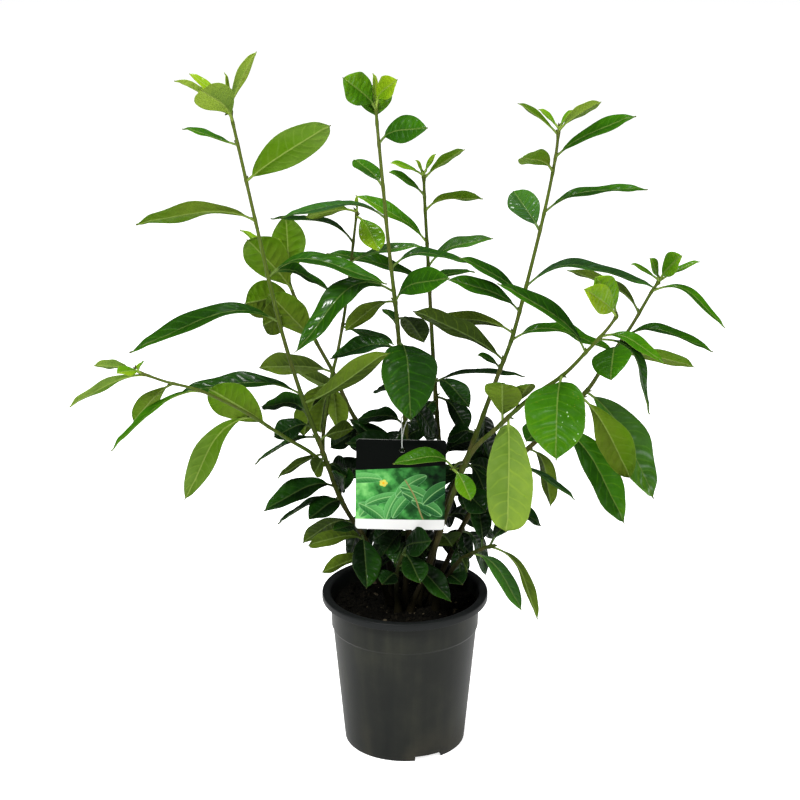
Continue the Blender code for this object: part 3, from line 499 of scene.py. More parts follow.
# %% Heaps of shells
class Heap:
    """Shells gathered for one mesh: their points, faces and named painting values."""

    def __init__(self):
        self.points, self.faces, self.paint, self.count = [], [], {}, 0

    def add(self, points, faces, **paint):
        """Points in any array shape; faces as arrays, one for each number of corners."""
        flat = points.reshape(-1, 3)
        self.points.append(flat)
        self.faces += [np.asarray(array) + self.count for array in faces]
        for name, values in paint.items():
            self.paint.setdefault(name, []).append(
                np.broadcast_to(values, points.shape).reshape(-1, 3))
        self.count += len(flat)

    def build(self, name, material, sharp=None):
        mesh = bpy.data.meshes.new(name)
        faces = [face for array in self.faces for face in array.tolist()]
        mesh.from_pydata(np.concatenate(self.points).tolist(), [], faces)
        for label, values in self.paint.items():
            attribute = mesh.attributes.new(label, "FLOAT_VECTOR", "POINT")
            attribute.data.foreach_set("vector", np.concatenate(values).ravel())
        mesh.materials.append(material)
        mesh.shade_smooth()
        if sharp is not None:
            mesh.set_sharp_from_angle(angle=math.radians(sharp))
        piece = bpy.data.objects.new(name, mesh)
        bpy.context.scene.collection.objects.link(piece)
        return piece


def triangles(piece):
    return sum(len(face.vertices) - 2 for face in piece.data.polygons)


print("an empty heap has", Heap().count, "points")

# %% [markdown]
# ### Tubes
# Stems and buds are round in section and change their radius on the way. A tube carries a
# ring of points along a route, square to it, and closes both ends with a flat cap.


# %% Tubes
def tube(route, radii, sides):
    """Rings of points round a route: middle + r (side cos a + up sin a), and their quads and caps."""
    along = unit(np.gradient(route, axis=0))
    side = unit(np.cross(along, np.array((0.0, 1.0, 0.02))))
    up = np.cross(side, along)
    angle = np.linspace(0, math.tau, sides, endpoint=False)
    ring = side[:, None] * np.cos(angle)[None, :, None] + up[:, None] * np.sin(angle)[None, :, None]
    points = route[:, None] + ring * radii[:, None, None]
    first = np.arange(sides)
    caps = np.stack((first, first[::-1] + (len(route) - 1) * sides))
    return points, (grid_faces(len(route), sides, closed=True)[:, ::-1], caps)


straight = np.array(((0.0, 0.0, 0.0), (0.0, 0.0, 1.0), (0.0, 0.0, 2.0)))
print("a tube of 3 rings by 6 has", tube(straight, np.ones(3), 6)[0].size // 3, "points")

# %% [markdown]
# ## Shader maths in plain expressions
# A pattern could be wired by hand, node by node, but it is hard to read back. Here a wire
# stands for the output of a node, and sums and products of wires add the Math nodes, so a
# pattern is written as the formula it is.

# %% Wires
class Wire:
    """The output of a node; each operator on it adds one Math node."""

    def __init__(self, paint, socket):
        self.paint, self.socket = paint, socket

    def __add__(self, other):
        return self.paint.maths("ADD", self, other)

    def __sub__(self, other):
        return self.paint.maths("SUBTRACT", self, other)

    def __rsub__(self, other):
        return self.paint.maths("SUBTRACT", other, self)

    def __mul__(self, other):
        return self.paint.maths("MULTIPLY", self, other)

    def __truediv__(self, other):
        return self.paint.maths("DIVIDE", self, other)

    def __pow__(self, other):
        return self.paint.maths("POWER", self, other)

    def __abs__(self):
        return self.paint.maths("ABSOLUTE", self)

    __radd__ = __add__
    __rmul__ = __mul__


print("wires can be added, subtracted, multiplied, divided and raised to a power")

# %% [markdown]
# ### Paint
# A paint keeps one material's nodes together. One method adds every kind of node, and the
# others are short names for the kinds that come again and again.


# %% Paint
class Paint:
    """One material: its nodes are added and linked by calls that return wires."""

    def __init__(self, name):
        self.material = bpy.data.materials.new(name)
        self.material.use_nodes = True
        self.nodes = self.material.node_tree.nodes
        self.links = self.material.node_tree.links
        self.shader = self.nodes["Principled BSDF"]

    def node(self, kind, settings=None, inputs=None, out=0):
        """Add a node, set its settings, then link or set its inputs; gives one output, or several."""
        made = self.nodes.new(kind)
        for name, value in (settings or {}).items():
            if name == "stops":
                self.set_stops(made.color_ramp.elements, value)
            else:
                setattr(made, name, value)
        for name, value in (inputs or {}).items():
            self.feed(made.inputs[name], value)
        if isinstance(out, tuple):
            return [Wire(self, made.outputs[name]) for name in out]
        return Wire(self, made.outputs[out])

    def set_stops(self, bands, stops):
        """A ramp's stops, each a place from 0 to 1 and its colour."""
        while len(bands) < len(stops):
            bands.new(0.5)
        for band, (place, colour) in zip(bands, stops):
            band.position = place
            band.color = (*colour, 1.0)

    def feed(self, socket, value):
        """Link a wire to a socket, or set the socket to a number or colour."""
        if isinstance(value, Wire):
            self.links.new(value.socket, socket)
        elif isinstance(value, tuple) and len(value) == 3 and socket.type == "RGBA":
            socket.default_value = (*value, 1.0)
        else:
            socket.default_value = value

    def maths(self, operation, *values):
        return self.node("ShaderNodeMath", {"operation": operation}, dict(enumerate(values)))

    def step(self, value, low, high):
        """0 at low, 1 at high and beyond, smooth between; low may be the larger."""
        inputs = {"Value": value, "From Min": low, "From Max": high}
        return self.node("ShaderNodeMapRange", {"interpolation_type": "SMOOTHSTEP"}, inputs)

    def mix(self, share, first, second):
        """Colours through one Mix node: its factor, A and B sockets for colours."""
        return self.node("ShaderNodeMix", {"data_type": "RGBA"}, {0: share, 6: first, 7: second}, out=2)

    def ramp(self, value, stops):
        """Colours by a value: stops are (place, colour)."""
        return self.node("ShaderNodeValToRGB", {"stops": stops}, {"Fac": value}, out="Color")

    def split(self, vector):
        """A vector's three values, as wires."""
        return self.node("ShaderNodeSeparateXYZ", None, {0: vector}, out=("X", "Y", "Z"))

    def attribute(self, name):
        """The three values of a painting attribute, as wires."""
        return self.split(self.node("ShaderNodeAttribute", {"attribute_name": name}, out="Vector"))

    def place(self, stretch=(1.0, 1.0, 1.0)):
        """Object coordinates, stretched along each axis."""
        at = self.node("ShaderNodeTexCoord", out="Object")
        return self.node("ShaderNodeMapping", None, {"Vector": at, "Scale": stretch})

    def height(self):
        """Height above the ground, from Object coordinates."""
        return self.split(self.place())[2]

    def noise(self, scale, detail=3.0, at=None, rough=0.5):
        inputs = {"Vector": at or self.place(), "Scale": scale, "Detail": detail, "Roughness": rough}
        return self.node("ShaderNodeTexNoise", None, inputs)

    def cells(self, scale, at=None, feature="F1"):
        """Distances in a pattern of cells: to their middles, or to their edges."""
        inputs = {"Vector": at or self.place(), "Scale": scale}
        return self.node("ShaderNodeTexVoronoi", {"feature": feature}, inputs)

    def bump(self, height, strength, distance):
        inputs = {"Height": height, "Strength": strength, "Distance": distance}
        return self.node("ShaderNodeBump", None, inputs)

    def finish(self, **sockets):
        """Feed the shader's sockets, named with underscores for spaces, and give the material."""
        for name, value in sockets.items():
            self.feed(self.shader.inputs[name.replace("_", " ")], value)
        return self.material


print("paint is ready")

# %% [markdown]
# ## The blade's finish
# A laurel leaf is glossy and dark above, matt and pale below, and yellow-green while it is
# young. It could be painted as a picture, but a formula stays sharp however near one looks:
# each point carries its place on the blade, nine pairs of side veins leave the midrib,
# sweep forward and fade at the margin, and the same formula shapes the mesh.

# %% Leaf colours
# Each list of colours runs from old leaves at 0 to the youngest at 1; near 0 it is also painted shade
ABOVE = (
    (0.0, (0.0014, 0.0052, 0.0010)), (0.15, (0.0035, 0.018, 0.0016)), (0.35, (0.011, 0.050, 0.0016)),
    (0.55, (0.026, 0.108, 0.0015)), (0.8, (0.070, 0.180, 0.003)), (1.0, (0.170, 0.270, 0.006)),
)
BELOW = (
    (0.0, (0.005, 0.012, 0.002)), (0.25, (0.024, 0.044, 0.004)), (0.45, (0.074, 0.120, 0.008)),
    (0.6, (0.050, 0.118, 0.001)), (0.8, (0.094, 0.164, 0.022)), (1.0, (0.180, 0.270, 0.026)),
)
OLD_RIB = (0.090, 0.145, 0.040)
YOUNG_RIB = (0.210, 0.280, 0.050)
DRY_TIP = (0.05, 0.03, 0.01)
# A pale bluish painted sheen for the swellings of some half-old leaves
SHEEN_GREEN = (0.040, 0.120, 0.055)
# The pale colour of the drops, a painted glint on the water
DROP_GLINT = (0.42, 0.60, 0.34)
SUNNED = (0.09, 0.11, 0.008)
print(len(ABOVE), "shades of green above and", len(BELOW), "below")

# %% [markdown]
# ### Veins and drops
# The vein formula is written twice, once for arrays and once for wires, because the mesh
# swells between the veins that the paint draws. One leaf in front is wet: round drops sit
# on it, thickest beside the midrib, where they gather on the real leaf too. The drops are
# raised in the bump, and their pale colour is a painted glint.

# %% Vein and drop masks
VEIN_PAIRS = 9
VEIN_SLANT = 0.10
VEIN_SWEEP = 0.07


def vein_phase(across, along):
    """Counts side veins: pairs * (along - slant |across| - sweep |across|^3), half a step on at the left."""
    bend = VEIN_SLANT * np.abs(across) + VEIN_SWEEP * np.abs(across) ** 3
    return VEIN_PAIRS * (along - bend) + 0.5 * (across < 0)


def vein_masks(paint, across, along):
    """Distance to the nearest side vein, 0 on it and 0.5 midway, and the vein as a fading line."""
    out = abs(across)
    bend = out * VEIN_SLANT + out ** 3 * VEIN_SWEEP
    phase = (along - bend) * VEIN_PAIRS + paint.maths("LESS_THAN", across, 0.0) * 0.5
    near = 0.5 - abs(paint.maths("FRACT", phase) - 0.5)
    return near, paint.step(near, 0.13, 0.02) * paint.step(out, 0.96, 0.6)


def drop_mask(paint, across, along, patches, blotches):
    """Middles of small cells, thinned out by blotches and thickest on the left half."""
    beads = paint.step(paint.cells(210.0), 0.22, 0.14) * paint.step(blotches, 0.50, 0.56)
    where = paint.step(across, 0.0, -0.25) * paint.step(along, 0.2, 0.4)
    where = where + paint.step(patches, 0.60, 0.68) * 0.6
    return beads * paint.step(where, 0.3, 0.8)


print("the vein count runs from", vein_phase(0.0, 0.0), "to", vein_phase(0.0, 1.0), "along the midrib")

# %% [markdown]
# ### Leaf paint
# Age is the main tone, and its low values on leaves deep inside and low down are painted
# shade. Patches differ a little from it at random; the two halves of a blade are painted
# lighter and darker as a fold would be lit, and the base is painted darker and the tip and
# margin lighter, painted shade and light. The gloss is uneven as on the plant: it lies in
# streaks on the swellings between the veins, and some half-old leaves get a thin pale
# painted sheen there.

# %% Leaf paint
def leaf_paint():
    paint = Paint("laurel_leaf")
    across, along, off_rib = paint.attribute("blade")
    # The first leaf value, age, is also painted shade on leaves deep inside and low down
    age_and_shade, chance, under = paint.attribute("leaf")
    wet = paint.maths("GREATER_THAN", chance, 1.0)
    chance = chance - wet
    out = abs(across)
    near, vein = vein_masks(paint, across, along)
    patches = paint.noise(22.0, 4.0)
    blotches = paint.noise(75.0, 3.0)
    fine = paint.noise(420.0, 3.0)

    # Tone, then the two faces with their side veins
    # One half of each blade is painted lighter and the other darker, a painted shade as from a fold; the
    # base is painted darker and the tip and margin lighter, painted shade and light
    fold_shade = (paint.step(across, -0.05, 0.05) - 0.5) * (chance - 0.5) * 0.34
    tone = age_and_shade + (patches - 0.5) * 0.24 + (blotches - 0.5) * 0.12 + (chance - 0.5) * 0.06
    tone = tone + fold_shade + (along - 0.55) * 0.16 + (out - 0.5) * 0.06
    vein_above = vein * paint.step(age_and_shade, 0.02, 0.30) * (0.50 - age_and_shade * 0.35)
    top = paint.mix(vein_above, paint.ramp(tone, ABOVE), paint.ramp(tone + 0.24, ABOVE))
    low = paint.mix(vein * 0.34, paint.ramp(tone, BELOW), paint.ramp(tone + 0.18, BELOW))
    colour = paint.mix(under, top, low)

    # Midrib, stalk and margin, with a painted highlight along the margin, then the dry tip
    rib = paint.step(abs(off_rib), 1.15, 0.35)
    stalk = paint.step(along, 0.03, 0.0)
    # The pale margin line is a painted highlight on the rounded edge
    edge = paint.step(out, 0.955, 0.99)
    lines = paint.maths("MAXIMUM", rib * (0.50 + under * 0.25), stalk * 0.7)
    lines = paint.maths("MAXIMUM", lines, edge * 0.3) * paint.step(age_and_shade, -0.25, 0.6)
    colour = paint.mix(lines, colour, paint.mix(age_and_shade, OLD_RIB, YOUNG_RIB))
    colour = paint.mix(paint.step(along, 0.975, 0.998) * 0.6, colour, DRY_TIP)

    # Wax streaks, a painted sheen, drops with a painted glint and a warm tint
    ridge = paint.step(near, 0.26, 0.48) * paint.step(out, 1.0, 0.7) * paint.step(patches, 0.46, 0.58)
    wax = (0.01 + ridge * (0.16 + chance * 0.50)) * (1.0 - under * 0.9)
    # A thin pale painted sheen on the swellings of some half-old leaves
    sheen_mask = paint.step(chance, 0.65, 0.95) * paint.step(age_and_shade, 0.60, 0.42) * paint.step(age_and_shade, 0.16, 0.30)
    sheen_mask = sheen_mask * (0.25 + ridge * 0.5) * (1.0 - under)
    colour = paint.mix(sheen_mask * 0.6, colour, SHEEN_GREEN)
    drops = drop_mask(paint, across, along, patches, blotches) * wet * (1.0 - under)
    # Drops are raised in the bump below; their pale colour is a painted glint
    colour = paint.mix(drops * 0.75, colour, DROP_GLINT)
    warm = paint.step(chance, 0.55, 1.0) * paint.step(age_and_shade, 0.15, 0.6) * 0.12
    colour = paint.mix(warm, colour, SUNNED)

    # A fine net, a grain and the veins, sunk above and raised below
    net = paint.step(paint.cells(330.0, feature="DISTANCE_TO_EDGE"), 0.0, 0.12)
    height = net * 0.10 + fine * 0.12 - vein * (0.9 - under * 1.9) + drops * 2.0
    rough = 0.30 + fine * 0.12 + under * 0.28 + patches * 0.05
    return paint.finish(
        Base_Color=colour, Roughness=rough, Normal=paint.bump(height, 0.35, 0.0006),
        Coat_Weight=wax, Coat_Roughness=0.15, Specular_IOR_Level=0.04,
    )


LEAF = leaf_paint()
print("leaf paint with", len(LEAF.node_tree.nodes), "nodes")

# %% [markdown]
# ## One blade
# The midrib is a straight chord, lifted in an arch. Across it the blade is a shallow
# trough with a waved, finely toothed margin that ends in a small drip tip. A flat sheet
# bent by hand would do for one leaf; a formula gives each of some two hundred its own form.

# %% Blade measures
# The arch's largest rise is its share of the chord: s (1-s)^2 is at most 4/27
ARCH_SCALE = 27 / 4
FOLD = 0.20
TWIST = 0.22
TIP_DROOP = 0.035
STALK_LENGTH = 0.010
STALK_MOST = 0.2
STALK_RADIUS = 0.0012
HALF_THICK = 0.0003
EDGE_THICK = 0.00018

# Outlines: short blades and those seen from below are blunt, the others are long, and
# the more they arch the nearer to the root they are broadest, by the shoulder
BLUNT_OUTLINE = (1.28, 0.62)
LONG_POWER = 1.18
LONG_FULLNESS = 0.70
SHOULDER = 1.1
YOUNG_LENGTH = 0.06
BLADE_END = 0.975
DRIP_TIP = 0.12
DRIP_START = 0.90

# Relief and margin
SWELLING = 0.034
VEIN_SHIFT = 0.020
CRUMPLE = 0.022
WAVY_LENGTH = 0.11
TEETH = 15
TOOTH = 0.012
GROOVE_DEPTH = 0.0004
GROOVE_REACH = 0.0009
RIB_DEPTH = 0.0009
RIB_REACH = 0.0010

# Grid of points: places across half a blade, and rows along it
ACROSS = np.array((0, 0.05, 0.13, 0.25, 0.40, 0.56, 0.72, 0.86, 0.95, 1.0))
SMALL_ACROSS = np.array((0, 0.09, 0.28, 0.52, 0.76, 0.93, 1.0))
SMALL_WIDTH = 0.022
STALK_ROWS = 3
LEAST_ROWS = 22
ROWS_PER_METRE = 340
print("a blade of 100 mm has", LEAST_ROWS + int(0.1 * ROWS_PER_METRE) + STALK_ROWS, "rows")

# %% [markdown]
# ### Midrib and outline
# The midrib of the real leaf rises from the stem, is highest about a third of the way
# along, and bends over. The blade's width follows it as a sine raised to a power, and its
# two powers make it blunt or long. A drawn curve could give the outline, but two numbers
# per leaf are easier to compare.


# %% Midrib and outline
def leaf_frame(root, tip, show):
    """Chord, length and the direction that the upper face turns to, as its share shown asks."""
    chord = tip - root
    length = np.linalg.norm(chord)
    along = chord / length
    view = unit(EYE - (root + tip) / 2)
    facing = unit(view - along * view.dot(along))
    sideways = np.cross(along, facing) * math.sqrt(1 - show * show)
    choices = [facing * show + sideways, facing * show - sideways]
    return along, length, max(choices, key=lambda normal: normal[2])


def midrib(root, tip, show, arch, s):
    """Places root + s L chord + 27/4 s (1-s)^2 arch L rise, with the side and up directions there."""
    chord, length, normal = leaf_frame(root, tip, show)
    rise = unit(np.array((0.0, 0.0, 1.0)) - chord * chord[2])
    lift = ARCH_SCALE * arch * length
    middle = root + chord * (length * s)[:, None] + rise * (lift * s * (1 - s) ** 2)[:, None]
    slope = lift * ((1 - s) ** 2 - 2 * s * (1 - s))
    tangent = unit(chord * length + rise * slope[:, None])
    up = unit(normal - tangent * (tangent @ normal)[:, None])
    return middle, np.cross(tangent, up), up


def outline(along, power, fullness):
    """Half width as a share: sin(pi s^power)^fullness up to the blade's end, then a drip tip."""
    s = np.clip(along / BLADE_END, 0, 1)
    body = np.sin(np.pi * s**power).clip(0) ** fullness
    drip = DRIP_TIP * smooth_step(1.0, DRIP_START, along) * (along > DRIP_START)
    return (body**4 + drip**4) ** 0.25


shares = np.linspace(0, 1, 101)
widest = shares[outline(shares, LONG_POWER, LONG_FULLNESS).argmax()]
print("a long leaf is widest at", widest, "of its length")

# %% [markdown]
# ### Swellings and wrinkles
# Between its side veins the blade swells upward, and all of it is slightly crumpled. Both
# could come from bump alone, but then the gloss would look painted on, so they are waves
# on the two parameters. The veins' places are shifted a little along the blade, so no two
# pairs stand at quite the same distance.


# %% Relief
def wave(turns):
    """A sine of whole turns: sin(2 pi turns)."""
    return np.sin(math.tau * turns)


def relief(a, q, width, dice):
    """Height |sin(pi vein phase)|^0.8 between the veins + two crossings of waves, and the veins' places."""
    first, second, third = dice.uniform(0, 1, 3)
    shift = VEIN_SHIFT * wave(2.3 * q + first) + 0.5 * VEIN_SHIFT * wave(5.3 * q + third)
    spaced = q + shift * np.sin(np.pi * q)
    swell = np.abs(np.sin(np.pi * vein_phase(a, spaced))) ** 0.8 * (1 - np.abs(a) ** 4) * SWELLING
    crumple = wave(4.3 * q + 0.9 * a + first) * wave(1.3 * a - 2.1 * q + second)
    crumple += 0.7 * wave(7.7 * q - 1.6 * a + third) * wave(2.4 * a + first)
    return (swell + crumple * CRUMPLE * (1 - a**6)) * np.abs(a) ** 0.4 * width, spaced


print("relief of up to", round(SWELLING * 50, 1), "mm on a blade 50 mm wide")

# %% [markdown]
# ### Two skins and a stalk
# The upper and the lower skin share one middle surface and stand off it by the blade's
# thickness. The midrib is a groove above and a ridge below. At the root the same section
# closes into a round stalk, so that stalk and blade are one closed shell.


# %% Blade
def blade(root, tip, width, show, arch, own_outline, dice):
    """Points of the upper and lower skins, with each point's place on the blade.

    A point is midrib(s) + a h(s) side + (trough + waves + relief) up, give or take the
    thickness, where a runs from -1 to 1 across and h is half the width.
    """
    length = np.linalg.norm(tip - root)
    rows = LEAST_ROWS + int(length * ROWS_PER_METRE)
    half_columns = SMALL_ACROSS if width <= SMALL_WIDTH else ACROSS
    a = np.concatenate((-half_columns[:0:-1], half_columns))[None, :]
    stalk = min(STALK_LENGTH / length, STALK_MOST)
    q = np.concatenate((np.zeros(STALK_ROWS), np.linspace(0, 1, rows)))
    s = np.concatenate((np.linspace(0, stalk, STALK_ROWS + 1)[:-1], stalk + (1 - stalk) * q[STALK_ROWS:]))
    middle, side, up = midrib(root, tip, show, arch, s)
    twist = (dice.uniform(-1, 1) * TWIST * (q - 0.35))[:, None]
    side, up = side * np.cos(twist) + up * np.sin(twist), up * np.cos(twist) - side * np.sin(twist)
    middle -= up * (length * TIP_DROOP * smooth_step(0.86, 1.0, q))[:, None]

    q = q[:, None]
    usual = (LONG_POWER - SHOULDER * max(arch, 0.0), LONG_FULLNESS)
    if show < 0 or length < YOUNG_LENGTH:
        usual = BLUNT_OUTLINE
    half = width / 2 * outline(q, *(own_outline or usual))
    half = np.maximum(half, STALK_RADIUS * (1 - smooth_step(0.0, 0.12, q)) + 0.0003)
    grown = smooth_step(0.0, 0.08, q)
    saw = 1 - TOOTH * grown * np.abs(a) ** 14 * (1 - (q * TEETH) % 1.0)

    waved = wave(dice.uniform(1.4, 2.6) * q + dice.uniform(0, 1) + 0.3 * (a > 0))
    waved *= dice.uniform(0.05, 0.16) * min(1.0, length / WAVY_LENGTH)
    swell, spaced = relief(a, q, width, dice)
    fold = FOLD * dice.uniform(0.7, 1.6)
    section = half * (fold * np.abs(a) ** 1.35 - 0.05 * a**6 + a * a * waved) * grown + swell * grown
    section -= GROOVE_DEPTH * grown * np.exp(-((a * half / GROOVE_REACH) ** 2))

    round_half = np.sqrt(1 - 0.97 * a * a)
    thick = grown * (EDGE_THICK + (HALF_THICK - EDGE_THICK) * round_half)
    thick = thick + (1 - grown) * STALK_RADIUS * round_half
    rib = grown * RIB_DEPTH * (1 - 0.75 * q) * np.exp(-((a * half / RIB_REACH) ** 2))
    spread = middle[:, None] + side[:, None] * (a * half * saw)[..., None]
    upper = spread + up[:, None] * (section + thick)[..., None]
    lower = spread + up[:, None] * (section - thick - rib)[..., None]
    a, spaced = np.broadcast_arrays(a, spaced)
    return upper, lower, np.stack((a, spaced, a * half / MM), axis=-1)


sample_tip = np.array((0.1, 0.0, 0.0))
skin, _, _ = blade(np.zeros(3), sample_tip, 0.04, 0.8, 0.1, None, np.random.default_rng(1))
print("a blade of 100 mm is", skin.shape[0], "by", skin.shape[1], "points on each face")

# %% [markdown]
# ### Closing the shell
# A modifier could give the blade its thickness, but the ridge below and the groove above
# need two skins. So both are made, the lower one is turned over, and a strip of quads
# joins them all round the margin.


# %% Close a blade
def add_blade(heap, root, tip, width, show, arch, age_and_shade, own_outline, wet, dice):
    """Close the two skins along their rims into one shell and add it to a heap."""
    upper, lower, place = blade(root, tip, width, show, arch, own_outline, dice)
    rows, columns = upper.shape[:2]
    number = np.arange(rows * columns).reshape(rows, columns)
    below = number + rows * columns
    top = grid_faces(rows, columns)
    faces = [top, top[:, ::-1] + rows * columns]
    for near, far in ((number[:, 0], below[:, 0]), (number[::-1, -1], below[::-1, -1]),
                      (number[0, ::-1], below[0, ::-1]), (number[-1], below[-1])):
        faces.append(np.stack((near[:-1], near[1:], far[1:], far[:-1]), axis=-1))
    points = np.concatenate((upper, lower))
    leaf = np.zeros(points.shape)
    leaf[..., 0] = age_and_shade
    leaf[..., 1] = dice.uniform(0, 1) + wet
    leaf[rows:, :, 2] = 1.0
    heap.add(points, faces, blade=np.concatenate((place, place)), leaf=leaf)


sample = Heap()
add_blade(sample, np.zeros(3), sample_tip, 0.04, 0.8, 0.1, 0.5, None, False, np.random.default_rng(1))
print("a blade of 100 mm is a shell of", sample.count, "points")

# %% [markdown]
# ## Stems and buds
# Young growth is green and smooth. Lower down the bark turns brown and corky, with small
# pale breathing pores, and above the soil it is painted near black, a painted shade under
# the leaves. A stem could be a curve with a bevel; a tube of rings lets its radius follow a
# formula at every point.

# %% Bark colours and paint
SOIL_TOP = 0.167
# Below this height the bark fades into painted shade, near black at the soil
LOW_SHADE_TOP = 0.32
BARK_SHADES = (
    (0.0, (0.060, 0.088, 0.010)), (0.35, (0.026, 0.048, 0.003)),
    (0.65, (0.026, 0.034, 0.004)), (1.0, (0.024, 0.017, 0.006)),
)
BARK_BROWN = (0.055, 0.046, 0.014)
BARK_PALE = (0.110, 0.140, 0.035)
PORE = (0.07, 0.052, 0.028)
LOW_SHADE = (0.003, 0.0022, 0.001)


def bark_paint():
    """Green to brown by wood, 0 young and 1 old, with brown and pale streaks along the stem."""
    paint = Paint("laurel_bark")
    wood = paint.attribute("bark")[0]
    streaks = paint.noise(55.0, 4.0, at=paint.place((6.0, 6.0, 0.7)))
    colour = paint.ramp(wood + (streaks - 0.5) * 0.35, BARK_SHADES)
    brown = paint.step(paint.noise(30.0, 3.0, at=paint.place((3.0, 3.0, 0.35))), 0.48, 0.60)
    colour = paint.mix(brown * (0.25 + wood * 0.5), colour, BARK_BROWN)
    pale = paint.step(streaks, 0.56, 0.70)
    colour = paint.mix(pale * (0.5 - wood * 0.5), colour, BARK_PALE)
    pores = paint.cells(300.0, at=paint.place((1.0, 1.0, 0.45)))
    dots = paint.step(pores, 0.20, 0.10) * paint.step(wood, 0.25, 0.7)
    colour = paint.mix(dots * 0.55, colour, PORE)
    # Towards the soil the bark is painted near black: painted shade under the leaves
    low_shade = paint.step(paint.height(), LOW_SHADE_TOP, SOIL_TOP + 0.03)
    colour = paint.mix(low_shade * 0.88, colour, LOW_SHADE)
    fine = paint.noise(300.0, 4.0, at=paint.place((1.0, 1.0, 0.25)))
    height = fine * (0.3 + wood * 0.7) + dots * 0.6
    return paint.finish(
        Base_Color=colour, Roughness=0.42 + wood * 0.3, Specular_IOR_Level=0.06,
        Normal=paint.bump(height, 0.5, 0.0008),
    )


BARK = bark_paint()
print("bark paint with", len(BARK.node_tree.nodes), "nodes")

# %% [markdown]
# ### Stem form
# A real stem tapers evenly, swells a little where each leaf stands, flares where it enters
# the soil and rounds off at its tip. Each of these is a term of one radius formula. Only
# stems that grow out of the soil get the flare, and side branches keep less bark.

# %% Stem form
# Radii, swellings and the root flare in mm, and how far they reach in m
STEM_BASE = 3.5
STEM_TIP = 1.55
BRANCH_BASE = 2.3
BRANCH_TIP = 1.3
NODE_SWELLING = 0.45
NODE_REACH = 0.0035
FOOT_FLARE = 1.6
FOOT_REACH = 0.012
TIP_TAPER = 0.010
STEM_SIDES = 14
RING_STEP = 0.0035
BRANCH_WOOD = 0.5


def add_stem(heap, stem, rooted, heights, dice):
    """A tube along the stem: radius = even taper + a swelling at each leaf, closed at the tip."""
    points = stem_points(stem)
    if rooted:
        foot = np.array((points[0][0], points[0][1], SOIL_TOP))
        points[0] = foot + (0, 0, 0.008)
        points = np.concatenate(((foot - (0, 0, 0.012))[None], points))
    length = np.linalg.norm(np.diff(points, axis=0), axis=1).sum()
    shares = np.linspace(0, 1, int(length / RING_STEP))
    route = smooth_line(points, shares)
    base, tip = (STEM_BASE, STEM_TIP) if rooted else (BRANCH_BASE, BRANCH_TIP)
    radii = base + (tip - base) * shares
    for height in heights:
        node = smooth_line(stem_points(stem), np.array([share_at_height(stem, height)]))
        gap = np.linalg.norm(route - node, axis=1)
        radii += NODE_SWELLING * np.exp(-((gap / NODE_REACH) ** 2))
    if rooted:
        radii += FOOT_FLARE * np.exp(-((route[:, 2] - SOIL_TOP) / FOOT_REACH) ** 2)
    radii *= 1 - 0.5 * smooth_step(length - TIP_TAPER, length, shares * length)
    wood = smooth_step(0.60, 0.10, route[:, 2] - SOIL_TOP + 0.15 * dice.uniform(-0.5, 0.5))
    wood *= (1 - 0.6 * shares) * (1.0 if rooted else BRANCH_WOOD)
    shell, faces = tube(route, radii * MM, STEM_SIDES)
    bark = np.zeros(shell.shape)
    bark[..., 0] = wood[:, None]
    # The third value is a chance of the stem's own, which the bark paint does not read
    bark[..., 2] = dice.uniform(0, 1)
    heap.add(shell, faces, bark=bark)


sample = Heap()
add_stem(sample, "right_twig", False, [], np.random.default_rng(1))
print("the right shoot's twig has", sample.count, "points")

# %% [markdown]
# ### Buds
# Each leaf has a small pointed bud in its corner. At this size a short tube with a sine for
# its radius is enough, and it shares the stem's finish.

# %% Buds
BUD_SIZE = 0.0022
BUD_LENGTH = 2.4
BUD_SIDES = 8
BUD_WOOD = 0.28


def add_bud(heap, place, direction):
    """A pointed bud: radii r sin(pi t^0.7) along a short straight route."""
    t = np.linspace(0, 1, 7)
    route = place + direction * (t * BUD_SIZE * BUD_LENGTH)[:, None]
    radii = BUD_SIZE * 0.5 * np.sin(np.pi * t**0.7).clip(0.06)
    shell, faces = tube(route, radii, BUD_SIDES)
    heap.add(shell, faces, bark=np.array((BUD_WOOD, 0.0, 0.5)))


sample = Heap()
add_bud(sample, np.zeros(3), np.array((0, 0, 1.0)))
print("a bud of", sample.count, "points")

# %% [markdown]
# ## Growing the shoots
# Each shoot becomes two pieces, its blades and its stems, because they differ in finish.
# Both stand for the shoot's solid. One leaf could be copied to every place, but no two on a
# plant are alike, so each is made anew: dice with a fixed seed give it its own twist,
# waves and tint, the same in every run.

# %% Grow every shoot
for number, (shoot, stems) in enumerate(SHOOTS.items()):
    dice = np.random.default_rng(100 + number)
    leaves, wood = Heap(), Heap()
    for index, stem in enumerate(stems):
        rows = LEAVES[stem] + INNER_LEAVES.get(stem, ())
        add_stem(wood, stem, index == 0, [row[0] for row in rows], dice)
        points = stem_points(stem)
        for height, right, up, reach, width, show, arch, age_and_shade in rows:
            share = share_at_height(stem, height)
            root, ahead = smooth_line(points, np.array((share, min(share + 0.02, 1.0) + 1e-4)))
            tip = seen(right, up, root[1] / MM + reach)
            own_outline = OUTLINES.get((stem, height))
            wet = (stem, height) == WET_LEAF
            add_blade(leaves, root, tip, width * MM, show, arch, age_and_shade, own_outline, wet, dice)
            rising = unit(ahead - root + 1e-9)
            lean = unit(rising + 0.8 * unit(tip - root))
            add_bud(wood, root + lean * BUD_SIZE, lean)
    place = shoot.removeprefix("shoot_")
    leafy = leaves.build("leaves_" + place, LEAF)
    stemmy = wood.build("stems_" + place, BARK)
    for piece in (leafy, stemmy):
        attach(piece, "root")
        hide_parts(shoot)
    print(shoot, "has", triangles(leafy), "leaf and", triangles(stemmy), "stem triangles")

